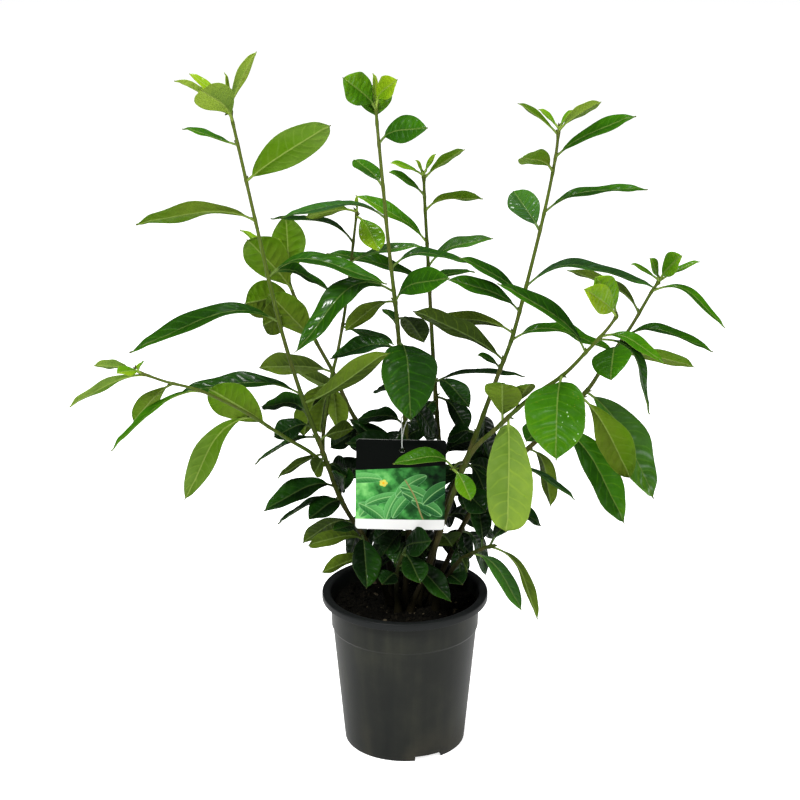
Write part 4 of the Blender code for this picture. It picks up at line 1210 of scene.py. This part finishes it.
# %% [markdown]
# ## The pot
# The real pot is blown or moulded from thin recycled black plastic: a tapering body, a
# collar a step wider, and a rolled rim. It could be built from cones and rings; one turned
# profile gives it rounded corners, as a mould leaves them, and a single closed wall.

# %% Pot measures and its turned profile
RIM_RADIUS = 0.095
POT_HEIGHT = 0.185
LIP_DEPTH = 0.008
LIP_LOW = POT_HEIGHT - LIP_DEPTH
WALL = 0.0016
COLLAR_TOP_RADIUS = 0.0852
COLLAR_LOW_RADIUS = 0.0842
COLLAR_LOW = 0.144
COLLAR_STEP = 0.002
BODY_TOP_RADIUS = 0.0826
FOOT_RADIUS = 0.0694
FOOT_HEIGHT = 0.0065
FOOT_WIDTH = 0.007
FOOT_SLANT = 0.0014
PAD_RADIUS = 0.020
FLOOR_TOP = FOOT_HEIGHT + WALL

# A ring just above the notches, on the wall's own slant, keeps the shading smooth there
RING_HEIGHT = 0.012
RING_RADIUS = FOOT_RADIUS + (BODY_TOP_RADIUS - FOOT_RADIUS) * RING_HEIGHT / (COLLAR_LOW - COLLAR_STEP)

# Each corner is its radius, its height and how far its rounding reaches
POT_PROFILE = (
    (0.0, FLOOR_TOP, 0.0), (FOOT_RADIUS - 0.0012, FLOOR_TOP, 0.004),
    (BODY_TOP_RADIUS - WALL, COLLAR_LOW - WALL, 0.001), (COLLAR_LOW_RADIUS - WALL, COLLAR_LOW, 0.001),
    (COLLAR_TOP_RADIUS - WALL, LIP_LOW, 0.004), (COLLAR_TOP_RADIUS + 0.0004, POT_HEIGHT, 0.003),
    (RIM_RADIUS, POT_HEIGHT, 0.0022), (RIM_RADIUS, LIP_LOW, 0.0006),
    (RIM_RADIUS - WALL, LIP_LOW, 0.0006), (RIM_RADIUS - WALL, POT_HEIGHT - WALL, 0.001),
    (COLLAR_TOP_RADIUS + WALL, POT_HEIGHT - WALL, 0.001), (COLLAR_TOP_RADIUS, LIP_LOW, 0.002),
    (COLLAR_LOW_RADIUS, COLLAR_LOW, 0.0009), (BODY_TOP_RADIUS, COLLAR_LOW - COLLAR_STEP, 0.0012),
    (RING_RADIUS, RING_HEIGHT, 0.001), (FOOT_RADIUS, 0.0, 0.0016), (FOOT_RADIUS - FOOT_WIDTH, 0.0, 0.001),
    (FOOT_RADIUS - FOOT_WIDTH - FOOT_SLANT, FOOT_HEIGHT, 0.001),
    (PAD_RADIUS + FOOT_SLANT, FOOT_HEIGHT, 0.001), (PAD_RADIUS, 0.0, 0.0008), (0.0, 0.0, 0.0),
)


def rounded(profile, steps=4):
    """Each corner becomes a curve: corner + (1-t)^2 before + t^2 after, within its reach."""
    points = [profile[0][:2]]
    for before, corner, after in zip(profile, profile[1:], profile[2:]):
        middle = np.array(corner[:2])
        back, on = np.array(before[:2]) - middle, np.array(after[:2]) - middle
        back *= min(corner[2] / np.linalg.norm(back), 0.45)
        on *= min(corner[2] / np.linalg.norm(on), 0.45)
        for t in np.linspace(0, 1, steps + 1):
            points.append(tuple(middle + back * (1 - t) ** 2 + on * t**2))
    return points + [profile[-1][:2]]


print(len(rounded(POT_PROFILE)), "points in the pot's profile")

# %% [markdown]
# ### Turning the profile
# A profile that starts and ends on the axis gives a closed solid when it is turned: a ring
# of points for each of its corners, and a fan of triangles at both middles. The compost is
# turned by the same function.


# %% Turning a profile
def turned(profile, angles):
    """Rings (r cos a, r sin a, z) of a profile that starts and ends on the axis, with its faces."""
    radius, height = np.array(profile[1:-1]).T
    ring = np.stack((np.cos(angles), np.sin(angles)), axis=-1)
    across = ring[None] * radius[:, None, None]
    upward = np.broadcast_to(height[:, None, None], (len(radius), len(angles), 1))
    rings = np.concatenate((across, upward), axis=-1).reshape(-1, 3)
    ends = np.array([(0, 0, profile[0][1]), (0, 0, profile[-1][1])])
    around = len(angles)
    count = len(radius) * around
    here = np.arange(around)
    after = (here + 1) % around
    first = np.full(around, count)
    start_cap = np.stack((first, here, after), axis=-1)
    end_cap = np.stack((first + 1, count - around + after, count - around + here), axis=-1)
    quads = grid_faces(len(radius), around, closed=True)[:, ::-1]
    return np.concatenate((rings, ends)), (quads, np.concatenate((start_cap, end_cap)))


def baked(piece):
    """Give a piece the mesh that its modifiers make, without the modifiers."""
    depsgraph = bpy.context.evaluated_depsgraph_get()
    mesh = bpy.data.meshes.new_from_object(piece.evaluated_get(depsgraph))
    piece.modifiers.clear()
    piece.data = mesh


can, _ = turned([(0, 0), (1, 0), (1, 2), (0, 2)], np.arange(8.0))
print("a can of 2 rings by 8 has", len(can), "points with its two middles")

# %% [markdown]
# ### Pot plastic
# Black recycled plastic is a dull charcoal with a satin sheen, dusty at the foot and
# faintly streaked upright where it ran along the mould. Noise stretched upright gives the
# streaks, and a fine grain in the normal breaks the sheen.

# %% Pot plastic
POT_BLACKS = ((0.36, (0.006, 0.007, 0.006)), (0.5, (0.009, 0.010, 0.008)), (0.64, (0.016, 0.017, 0.012)))
RIM_BLACK = (0.007, 0.008, 0.008)
DUST = (0.04, 0.034, 0.024)


def pot_paint():
    paint = Paint("pot_plastic")
    cloud = paint.noise(14.0, 4.0)
    streak = paint.noise(60.0, 3.0, at=paint.place((1.0, 1.0, 0.06)))
    grain = paint.noise(900.0, 2.0)
    level = cloud * 0.6 + streak * 0.4
    height = paint.height()
    rim = paint.step(height, LIP_LOW - 0.004, LIP_LOW + 0.001)
    colour = paint.mix(rim, paint.ramp(level, POT_BLACKS), RIM_BLACK)
    dust = paint.step(height, 0.05, 0.0) * paint.step(cloud, 0.45, 0.65) * 0.35
    colour = paint.mix(dust, colour, DUST)
    rough = 0.40 + level * 0.16 + dust * 0.5
    return paint.finish(
        Base_Color=colour, Roughness=rough, Specular_IOR_Level=0.09,
        Normal=paint.bump(grain * 0.5 + streak * 0.5, 0.25, 0.0006),
    )


PLASTIC = pot_paint()
print("pot plastic with", len(PLASTIC.node_tree.nodes), "nodes")

# %% [markdown]
# ### Notches and drain holes
# Three low notches under the foot let the water out, and six holes drain the floor. A
# notch is made by lifting the points inside it, with rings of points set close to its
# edges. The holes go right through the wall, so cylinders are cut out of it.

# %% Make the pot
NOTCH_WIDTH = 0.032
NOTCH_HEIGHT = 0.0056
NOTCH_ANGLES = (-67, 53, 173)
NOTCH_REACH = 0.058
DRAIN_RADIUS = 0.005
DRAIN_CIRCLE = 0.045
DRAIN_COUNT = 6
POT_ANGLES = 192

edges = []
half_angle = math.asin(NOTCH_WIDTH / 2 / FOOT_RADIUS)
for degrees in NOTCH_ANGLES:
    for sign in (-1, 1):
        edges += [math.radians(degrees) + sign * (half_angle - step) for step in (0.0, 0.004)]
around = np.linspace(0, math.tau, POT_ANGLES, endpoint=False)
around = np.sort(np.concatenate((around, np.array(edges) % math.tau)))
points, faces = turned(rounded(POT_PROFILE), around)
for degrees in NOTCH_ANGLES:
    turn = math.radians(degrees)
    outward = points[:, 0] * math.cos(turn) + points[:, 1] * math.sin(turn)
    beside = points[:, 1] * math.cos(turn) - points[:, 0] * math.sin(turn)
    inside = (outward > NOTCH_REACH) & (np.abs(beside) < NOTCH_WIDTH / 2 - 0.0001)
    points[inside, 2] = np.maximum(points[inside, 2], NOTCH_HEIGHT)
heap = Heap()
heap.add(points, faces)
pot = heap.build("nursery_pot", PLASTIC)

bm = bmesh.new()
for index in range(DRAIN_COUNT):
    angle = math.tau * (index + 0.5) / DRAIN_COUNT
    centre = (DRAIN_CIRCLE * math.cos(angle), DRAIN_CIRCLE * math.sin(angle), FLOOR_TOP)
    made = bmesh.ops.create_cone(bm, cap_ends=True, segments=32, radius1=DRAIN_RADIUS,
                                 radius2=DRAIN_RADIUS, depth=0.012)
    bmesh.ops.translate(bm, verts=made["verts"], vec=centre)
mesh = bpy.data.meshes.new("drains")
bm.to_mesh(mesh)
bm.free()
drains = bpy.data.objects.new("drains", mesh)
bpy.context.scene.collection.objects.link(drains)
cutting = pot.modifiers.new("drain", "BOOLEAN")
cutting.operation = "DIFFERENCE"
cutting.object = drains
baked(pot)
bpy.data.objects.remove(drains, do_unlink=True)
pot.data.set_sharp_from_angle(angle=math.radians(35))
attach(pot, "root")
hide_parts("pot")
print("pot of", triangles(pot), "triangles")

# %% [markdown]
# ## The compost
# Peat and bark compost is nearly black when moist. Its top could be a flat disc with a
# bump, but crumbs stand up from it, so it is a sum of waves of many sizes, strewn with
# real crumbs and with a few paler chips of bark and wood.

# %% Compost form
SOIL_WAVES = ((210, 90, 0.0, 1.0), (-130, 240, 1.3, 1.0), (390, -310, 0.4, 0.6))
WAVES_MOST = 2.6
FINE_WAVES = 26
FINE_SHARE = 0.22
SOIL_BUMP = 0.0022
SOIL_EDGE = 0.012
SOIL_RINGS = 64
SOIL_AROUND = 180
SOIL_RADIUS = 0.0831
SOIL_GAP = 0.0004
SOIL_LIFT = 0.0002
dice = np.random.default_rng(7)
lengths = dice.uniform(500, 2600, FINE_WAVES)
fine_waves = np.stack((lengths * np.exp(1j * dice.uniform(0, math.tau, FINE_WAVES)),
                       dice.uniform(0, math.tau, FINE_WAVES)), axis=-1)


def soil_height(x, y):
    """Soil top + the solid's three waves + 26 finer ones, fading out at the wall."""
    edge = np.clip((SOIL_RADIUS - np.hypot(x, y)) / SOIL_EDGE, 0, 1)
    waves = sum(size * np.sin(p * x + q * y + turn) for p, q, turn, size in SOIL_WAVES) / WAVES_MOST
    fine = sum(np.sin(wave.real * x + wave.imag * y + turn.real) / abs(wave)
               for wave, turn in fine_waves)
    return SOIL_TOP + SOIL_BUMP * edge * waves + FINE_SHARE * edge * fine


across = SOIL_RADIUS * np.linspace(0, 1, SOIL_RINGS)[1:]
angles = np.linspace(0, math.tau, SOIL_AROUND, endpoint=False)
body = [(0.0, SOIL_TOP)] + [(radius, SOIL_TOP) for radius in across] + [
    (COLLAR_LOW_RADIUS - WALL - SOIL_GAP, COLLAR_LOW + 0.001),
    (BODY_TOP_RADIUS - WALL - SOIL_GAP, COLLAR_LOW - 0.003),
    (FOOT_RADIUS - 0.006, FLOOR_TOP + SOIL_LIFT), (0.0, FLOOR_TOP + SOIL_LIFT),
]
points, faces = turned(body, angles)
top = points[:, 2] > SOIL_TOP - MM
points[top, 2] = soil_height(points[top, 0], points[top, 1])
heap = Heap()
heap.add(points, [array[:, ::-1] for array in faces])
print("compost from", points[top, 2].min().round(4), "to", points[top, 2].max().round(4), "high")

# %% [markdown]
# ### Crumbs and chips
# A crumb is a small ball of few faces, its points pushed in or out. A chip is the same,
# only flatter. Hundreds of them lie on the compost, each turned its own way.

# %% Crumbs and chips
CRUMBS = 900
CRUMB_SIZES = (0.0007, 0.0034)
CRUMB_FLAT = 0.8
CHIPS = 46
CHIP_SIZES = (0.0014, 0.0050)
CHIP_FLAT = 0.22
STREWN_RADIUS = 0.080

bm = bmesh.new()
bmesh.ops.create_icosphere(bm, subdivisions=1, radius=1.0)
ball = np.array([vertex.co[:] for vertex in bm.verts])
ball_faces = ([[vertex.index for vertex in face.verts] for face in bm.faces],)
bm.free()


def strewn(heap, count, least, most, flat):
    """Small jagged crumbs: a ball's points, each pushed in or out, squashed, turned and dropped."""
    for _ in range(count):
        distance, angle = STREWN_RADIUS * math.sqrt(dice.uniform(0, 1)), dice.uniform(0, math.tau)
        x, y = distance * math.cos(angle), distance * math.sin(angle)
        size = least + (most - least) * dice.uniform(0, 1) ** 3
        jagged = ball * dice.uniform(0.7, 1.2, (len(ball), 1))
        lump = jagged * (size, size * dice.uniform(0.45, 1), size * flat)
        turn = dice.uniform(0, math.tau)
        lean = dice.uniform(-0.5, 0.5)
        cosine, sine = math.cos(lean), math.sin(lean)
        lump = lump @ np.array(((1, 0, 0), (0, cosine, -sine), (0, sine, cosine)))
        cosine, sine = math.cos(turn), math.sin(turn)
        lump = lump @ np.array(((cosine, -sine, 0), (sine, cosine, 0), (0, 0, 1)))
        heap.add(lump + (x, y, soil_height(x, y) + size * flat * 0.35), ball_faces)


strewn(heap, CRUMBS, *CRUMB_SIZES, CRUMB_FLAT)
chips = Heap()
strewn(chips, CHIPS, *CHIP_SIZES, CHIP_FLAT)
print(CRUMBS, "crumbs and", CHIPS, "chips, each of", len(ball_faces[0]), "faces")

# %% [markdown]
# ### Compost paint
# Moist peat is nearly black with brown flecks, and bark chips are the same stuff dried and
# paler. So one paint serves both, and a light of 0 or more lifts its colours.


# %% Compost paint
def soil_paint(name, light):
    """Dark crumbs flecked with brown; light is 0 for compost and more for bark chips."""
    paint = Paint(name)
    flecks = paint.noise(260.0, 5.0, rough=0.7)
    cells = paint.noise(70.0, 3.0)

    def lit(red, green, blue):
        return red + light, green + light * 0.8, blue + light * 0.5

    colour = paint.ramp(flecks * 0.7 + cells * 0.3, (
        (0.30, (0.0006, 0.0005, 0.0003)), (0.50, lit(0.0015, 0.0013, 0.0007)),
        (0.62, lit(0.006, 0.005, 0.003)), (0.72, lit(0.045, 0.036, 0.022)),
    ))
    return paint.finish(
        Base_Color=colour, Roughness=0.9, Specular_IOR_Level=0.05,
        Normal=paint.bump(flecks, 0.9, 0.0015),
    )


soil = heap.build("compost", soil_paint("compost", 0.0), sharp=40)
bark_chips = chips.build("bark_chips", soil_paint("bark_chips", 0.05), sharp=30)
for piece in (soil, bark_chips):
    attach(piece, "root")
    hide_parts("soil")
    print(piece.name, "has", triangles(piece), "triangles")

# %% [markdown]
# ## The picture card
# A printed plastic card hangs in front, a little turned and slightly bowed. A thin box
# would do for its form, but it has round corners and a hole, so it is a grid of rings
# that run from the hole's edge out to the card's own outline.

# %% Card form
CARD_WIDTH = 0.0995
CARD_HEIGHT = 0.107
CARD_THICKNESS = 0.0008
CARD_CORNER = 0.004
CARD_CENTRE = (-5, 314, -42)
CARD_TURN = 1.0
CARD_BOW = 0.0012
CARD_RINGS = 10
CORNER_POINTS = 9
SIDE_POINTS = 13
HOLE_RADIUS = 0.0032
HOLE_DROP = 0.0115
HOLE_SHIFT = 0.001
card_place = seen(*CARD_CENTRE)
card_turn = math.radians(CARD_TURN)


def card_point(x, y, off):
    """A place on the card in the row frame: turned by 1 degree, bowed back by bow (x/half)^2."""
    lean = x * math.cos(card_turn) + y * math.sin(card_turn)
    rise = y * math.cos(card_turn) - x * math.sin(card_turn)
    bow = CARD_BOW * (2 * x / CARD_WIDTH) ** 2
    return card_place + np.stack((lean, bow - off, rise), axis=-1)


def card_outline():
    """A rectangle with round corners and points along its sides, counter-clockwise."""
    points = []
    corners = ((1, 1, 0), (-1, 1, 90), (-1, -1, 180), (1, -1, 270))
    for right, up, start in corners:
        turn = np.radians(start + np.linspace(0, 90, CORNER_POINTS))
        x = right * (CARD_WIDTH / 2 - CARD_CORNER) + CARD_CORNER * np.cos(turn)
        y = up * (CARD_HEIGHT / 2 - CARD_CORNER) + CARD_CORNER * np.sin(turn)
        points.append(np.stack((x, y), axis=-1))
    runs = []
    for index, arc in enumerate(points):
        after = points[(index + 1) % 4][0]
        side = np.linspace(0, 1, SIDE_POINTS)[1:-1, None]
        runs += [arc, arc[-1] + (after - arc[-1]) * side]
    return np.concatenate(runs)


rim = card_outline()
print("an outline of", len(rim), "points")

# %% [markdown]
# ### The card's two faces
# Rings run from the hole's edge to the outline, closer together near the hole. The same
# rings make the front and the back, and strips of quads close the hole and the outer edge.
# Each point keeps its place on the card in millimetres, which the print reads.

# %% Card faces
hole = np.array((HOLE_SHIFT, CARD_HEIGHT / 2 - HOLE_DROP))
ring = hole + HOLE_RADIUS * unit(rim - hole)
share = np.linspace(0, 1, CARD_RINGS)[:, None, None] ** 1.5
flat = ring + (rim - ring) * share
x, y = flat[..., 0], flat[..., 1]
front = card_point(x, y, CARD_THICKNESS / 2)
back = card_point(x, y, -CARD_THICKNESS / 2)
side_faces = grid_faces(CARD_RINGS, len(rim), closed=True)
number = np.arange(x.size).reshape(x.shape)
walls = []
for near in (number[0, ::-1], number[-1]):
    far = near + number.size
    walls.append(np.stack((near, far, np.roll(far, -1), np.roll(near, -1)), axis=-1))
printed = np.stack((x / MM, y / MM, np.ones_like(x)), axis=-1)
blank = printed * (1, 1, 0)
heap = Heap()
heap.add(np.concatenate((front, back)),
         (side_faces[:, ::-1], side_faces + number.size, *walls),
         card=np.concatenate((printed, blank)))
print("card of", heap.count, "points round a hole of", 2 * HOLE_RADIUS / MM, "mm")

# %% [markdown]
# ### The card's print
# The print is a free design: a dark head with a slanting edge, leaves scattered on a
# mottled green ground, a twig, a small yellow blossom of five petals, and a bare white
# strip below. A print could be an image; here masks from lines and ovals on the card's
# own millimetres draw it, so it is sharp at any distance.

# %% Leaves of the print
HALF_CARD = CARD_HEIGHT / MM / 2
STRIP_EDGE = 12.0
HEAD_EDGE = 33.2
EDGE_BLUR = 0.2
HEAD_SLANT = 0.075
PRINTED_LEAVES = 11
GROUND_GREENS = (
    (0.25, (0.002, 0.008, 0.003)), (0.45, (0.010, 0.060, 0.012)), (0.62, (0.045, 0.22, 0.045)),
    (0.8, (0.16, 0.42, 0.12)),
)
PRINT_RIB = (0.22, 0.42, 0.16)
PRINT_EDGE = (0.20, 0.44, 0.20)
PRINT_TWIG = (0.16, 0.13, 0.05)
PRINT_HEART = (0.50, 0.26, 0.01)
HEAD_BLACK = (0.0010, 0.0016, 0.0012)
STRIP_WHITE = (0.53, 0.53, 0.52)
BACK_WHITE = (0.46, 0.46, 0.44)


def print_leaf(paint, x, y, index, dice, colour):
    """Lay a leaf over a colour: an oval round a bent line, with a rib and veins along it."""
    turn = dice.uniform(-0.9, 1.3)
    middle = (-42 + 8.2 * index + dice.uniform(-4, 4), dice.uniform(-34, 12))
    cosine, sine = math.cos(turn), math.sin(turn)
    along = (x - middle[0]) * cosine + (y - middle[1]) * sine
    across = (y - middle[1]) * cosine - (x - middle[0]) * sine + (along / 15.0) ** 2.0 * 1.6
    oval = (abs(across) / dice.uniform(5.5, 8.0)) ** 2.0 + (along / dice.uniform(17.0, 23.0)) ** 2.0
    rib = paint.step(abs(across), 0.75, 0.25)
    veins = paint.step(paint.maths("SINE", (along - abs(across) * 0.8) * 1.7), 0.5, 1.0)
    depth = min(1.0, max(0.0, 0.85 - 0.085 * index + dice.uniform(-0.15, 0.15)))
    dark = (0.004 + 0.012 * depth, 0.030 + 0.09 * depth, 0.010 + 0.012 * depth)
    light = (0.035 + 0.10 * depth, 0.15 + 0.27 * depth, 0.035 + 0.08 * depth)
    leaf = paint.mix(paint.step(across, -7.0, 7.0) * 0.75 + veins * 0.12, dark, light)
    leaf = paint.mix(rib * 0.6, leaf, PRINT_RIB)
    leaf = paint.mix(paint.step(oval, 0.84, 0.98) * 0.4, leaf, PRINT_EDGE)
    return paint.mix(paint.step(oval, 1.04, 0.96), colour, leaf)


print(PRINTED_LEAVES, "printed leaves on a card", round(2 * HALF_CARD), "mm high")

# %% [markdown]
# ### Card paint
# The layers go on in the order of a print: ground, leaves, twig, blossom, then the dark
# head and the white strip. The back stays plain, as a third value marks the printed side.


# %% Card paint
def print_blossom(paint, x, y, colour):
    """Lay a blossom over a colour: five petals and a heart, each an oval."""
    for index in range(5):
        turn = index * math.tau / 5
        middle = (-19.0 + 2.6 * math.cos(turn), 2.0 + 2.4 * math.sin(turn))
        oval = ((x - middle[0]) / 2.3) ** 2.0 + ((y - middle[1]) / 1.9) ** 2.0
        petal = (0.46, 0.38 + 0.03 * (index % 2), 0.06)
        colour = paint.mix(paint.step(oval, 1.2, 0.6) * 0.9, colour, petal)
    heart = ((x + 19.0) / 1.6) ** 2.0 + ((y - 2.0) / 1.5) ** 2.0
    return paint.mix(paint.step(heart, 1.2, 0.5), colour, PRINT_HEART)


def card_paint():
    """Ground, leaves, twig and blossom, then the head, the strip and the plain back."""
    paint = Paint("label_print")
    x, y, printed = paint.attribute("card")
    at = paint.node("ShaderNodeCombineXYZ", None, {"X": x, "Y": y})
    colour = paint.ramp(paint.noise(0.06, 3.0, at=at) - x * 0.004, GROUND_GREENS)
    dice = np.random.default_rng(33)
    for index in range(PRINTED_LEAVES):
        colour = print_leaf(paint, x, y, index, dice, colour)
    off_twig = (x - 14.0) + (y + 12.0) * 0.45 + paint.maths("SINE", y * 0.12) * 1.2
    twig = paint.step(abs(off_twig), 1.1, 0.6) * paint.step(y, 8.0, 4.0)
    colour = print_blossom(paint, x, y, paint.mix(twig, colour, PRINT_TWIG))
    head_low = HALF_CARD - HEAD_EDGE
    head = paint.step(y - x * HEAD_SLANT, head_low - EDGE_BLUR, head_low + EDGE_BLUR)
    strip_top = STRIP_EDGE - HALF_CARD
    strip = paint.step(y, strip_top + EDGE_BLUR, strip_top - EDGE_BLUR)
    colour = paint.mix(strip, paint.mix(head, colour, HEAD_BLACK), STRIP_WHITE)
    colour = paint.mix(printed, BACK_WHITE, colour)
    return paint.finish(Base_Color=colour, Roughness=0.3, Specular_IOR_Level=0.02)


card = heap.build("picture_card", card_paint(), sharp=40)
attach(card, "root")
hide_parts("label_card")
print("card of", triangles(card), "triangles")

# %% [markdown]
# ## The clear tie
# A thin clear plastic tie holds the card: round the middle stem, down, and through the
# hole, where it bears on the hole's upper edge and on the card's top edge. A round cord
# that runs freely between knots is best made as a curve with a bevel, then made a mesh.

# %% Clear tie
LOOP_RADIUS = 0.0006
LOOP_HEIGHT = 394
LOOP_CLEAR = 0.0004
HOLE_GAP = 0.0003


def tie_paint():
    return Paint("clear_plastic").finish(
        Base_Color=(0.42, 0.44, 0.42), Roughness=0.30, IOR=1.5, Transmission_Weight=0.30,
    )


share = share_at_height("centre", LOOP_HEIGHT)
stem = smooth_line(stem_points("centre"), np.array([share]))[0]
reach = (STEM_BASE + (STEM_TIP - STEM_BASE) * share) * MM + LOOP_RADIUS + LOOP_CLEAR
hole_at = card_point(np.array(hole[0]), np.array(hole[1]), 0.0)
seat = hole_at + (0.0, 0.0, HOLE_RADIUS - LOOP_RADIUS - HOLE_GAP)
off_card = CARD_THICKNESS / 2 + 2 * LOOP_RADIUS
crest = hole_at + (0.0, -off_card / 2, HOLE_DROP + LOOP_RADIUS + HOLE_GAP)
knots = [seat, seat + (0.0, -off_card, LOOP_RADIUS), crest]
for degrees in range(0, 181, 30):
    angle = math.radians(degrees)
    knots.append(stem + np.array((math.cos(angle), math.sin(angle), 0.0)) * reach)
knots.append(seat + (0.0, off_card, LOOP_RADIUS))
curve = bpy.data.curves.new("tie", "CURVE")
curve.dimensions = "3D"
curve.bevel_depth = LOOP_RADIUS
curve.bevel_resolution = 4
curve.resolution_u = 8
spline = curve.splines.new("BEZIER")
spline.bezier_points.add(len(knots) - 1)
spline.use_cyclic_u = True
for knot, place in zip(spline.bezier_points, knots):
    knot.co = place
    knot.handle_left_type = "AUTO"
    knot.handle_right_type = "AUTO"
tie = bpy.data.objects.new("clear_tie", curve)
bpy.context.scene.collection.objects.link(tie)
mesh = bpy.data.meshes.new_from_object(tie.evaluated_get(bpy.context.evaluated_depsgraph_get()))
bpy.data.objects.remove(tie, do_unlink=True)
mesh.materials.clear()
mesh.materials.append(tie_paint())
mesh.shade_smooth()
tie = bpy.data.objects.new("clear_tie", mesh)
bpy.context.scene.collection.objects.link(tie)
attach(tie, "root")
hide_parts("label_loop")
print("tie of", triangles(tie), "triangles")

# %% [markdown]
# ## Light
# A soft studio: an even white surround, a broad key from the upper left, a broad fill and
# a back light that draws the rims of the leaves. Broad lamps are chosen because small ones
# would put hard spots on the glossy blades.

# %% Surround and lamps
SURROUND = 0.13
LIGHTS = (
    ("key", (-1.2, -1.9, 2.6), 0.7, 118.0),
    ("fill", (1.9, -1.7, 1.6), 1.2, 34.0),
    ("top", (0.1, 0.3, 2.8), 0.8, 55.0),
)
AIMED_AT = np.array((0.0, 0.0, 0.4))
world = bpy.data.worlds.new("studio")
world.use_nodes = True
background = world.node_tree.nodes["Background"].inputs
background["Color"].default_value = (1.0, 1.0, 1.0, 1.0)
background["Strength"].default_value = SURROUND
bpy.context.scene.world = world
bpy.context.scene.view_settings.view_transform = "Standard"

for name, place, size, power in LIGHTS:
    lamp = bpy.data.lights.new(name, "AREA")
    lamp.size = size
    lamp.energy = power
    light = bpy.data.objects.new(name, lamp)
    bpy.context.scene.collection.objects.link(light)
    light.location = place
    towards = unit(AIMED_AT - place)
    light.rotation_euler = (math.acos(-towards[2]), 0.0, math.atan2(-towards[0], towards[1]))
print(len(LIGHTS), "lamps")

# %% [markdown]
# ## Floor and size
# The plant stands on a plain pale floor that glows a little of itself, so that it comes
# out as white as studio paper. Last, the size with everything shown is noted beside the
# size of the plain solids.

# %% Floor, size and finish
FLOOR_SIZE = 8.0
corners = [(x * FLOOR_SIZE, y * FLOOR_SIZE, 0.0) for x, y in ((-1, -1), (1, -1), (1, 1), (-1, 1))]
mesh = bpy.data.meshes.new("floor")
mesh.from_pydata(corners, [], [(0, 1, 2, 3)])
mesh.materials.append(Paint("pale_floor").finish(
    Base_Color=(0.93, 0.93, 0.93), Roughness=0.7, Specular_IOR_Level=0.2,
    Emission_Color=(1.0, 1.0, 1.0), Emission_Strength=0.78,
))
floor = bpy.data.objects.new("floor", mesh)
bpy.context.scene.collection.objects.link(floor)
floor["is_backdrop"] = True

shown_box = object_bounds()
for name, (low, high) in (("solids", cad_box), ("shown", shown_box)):
    print(name, "in mm:", np.subtract(high, low).round(4) / MM)
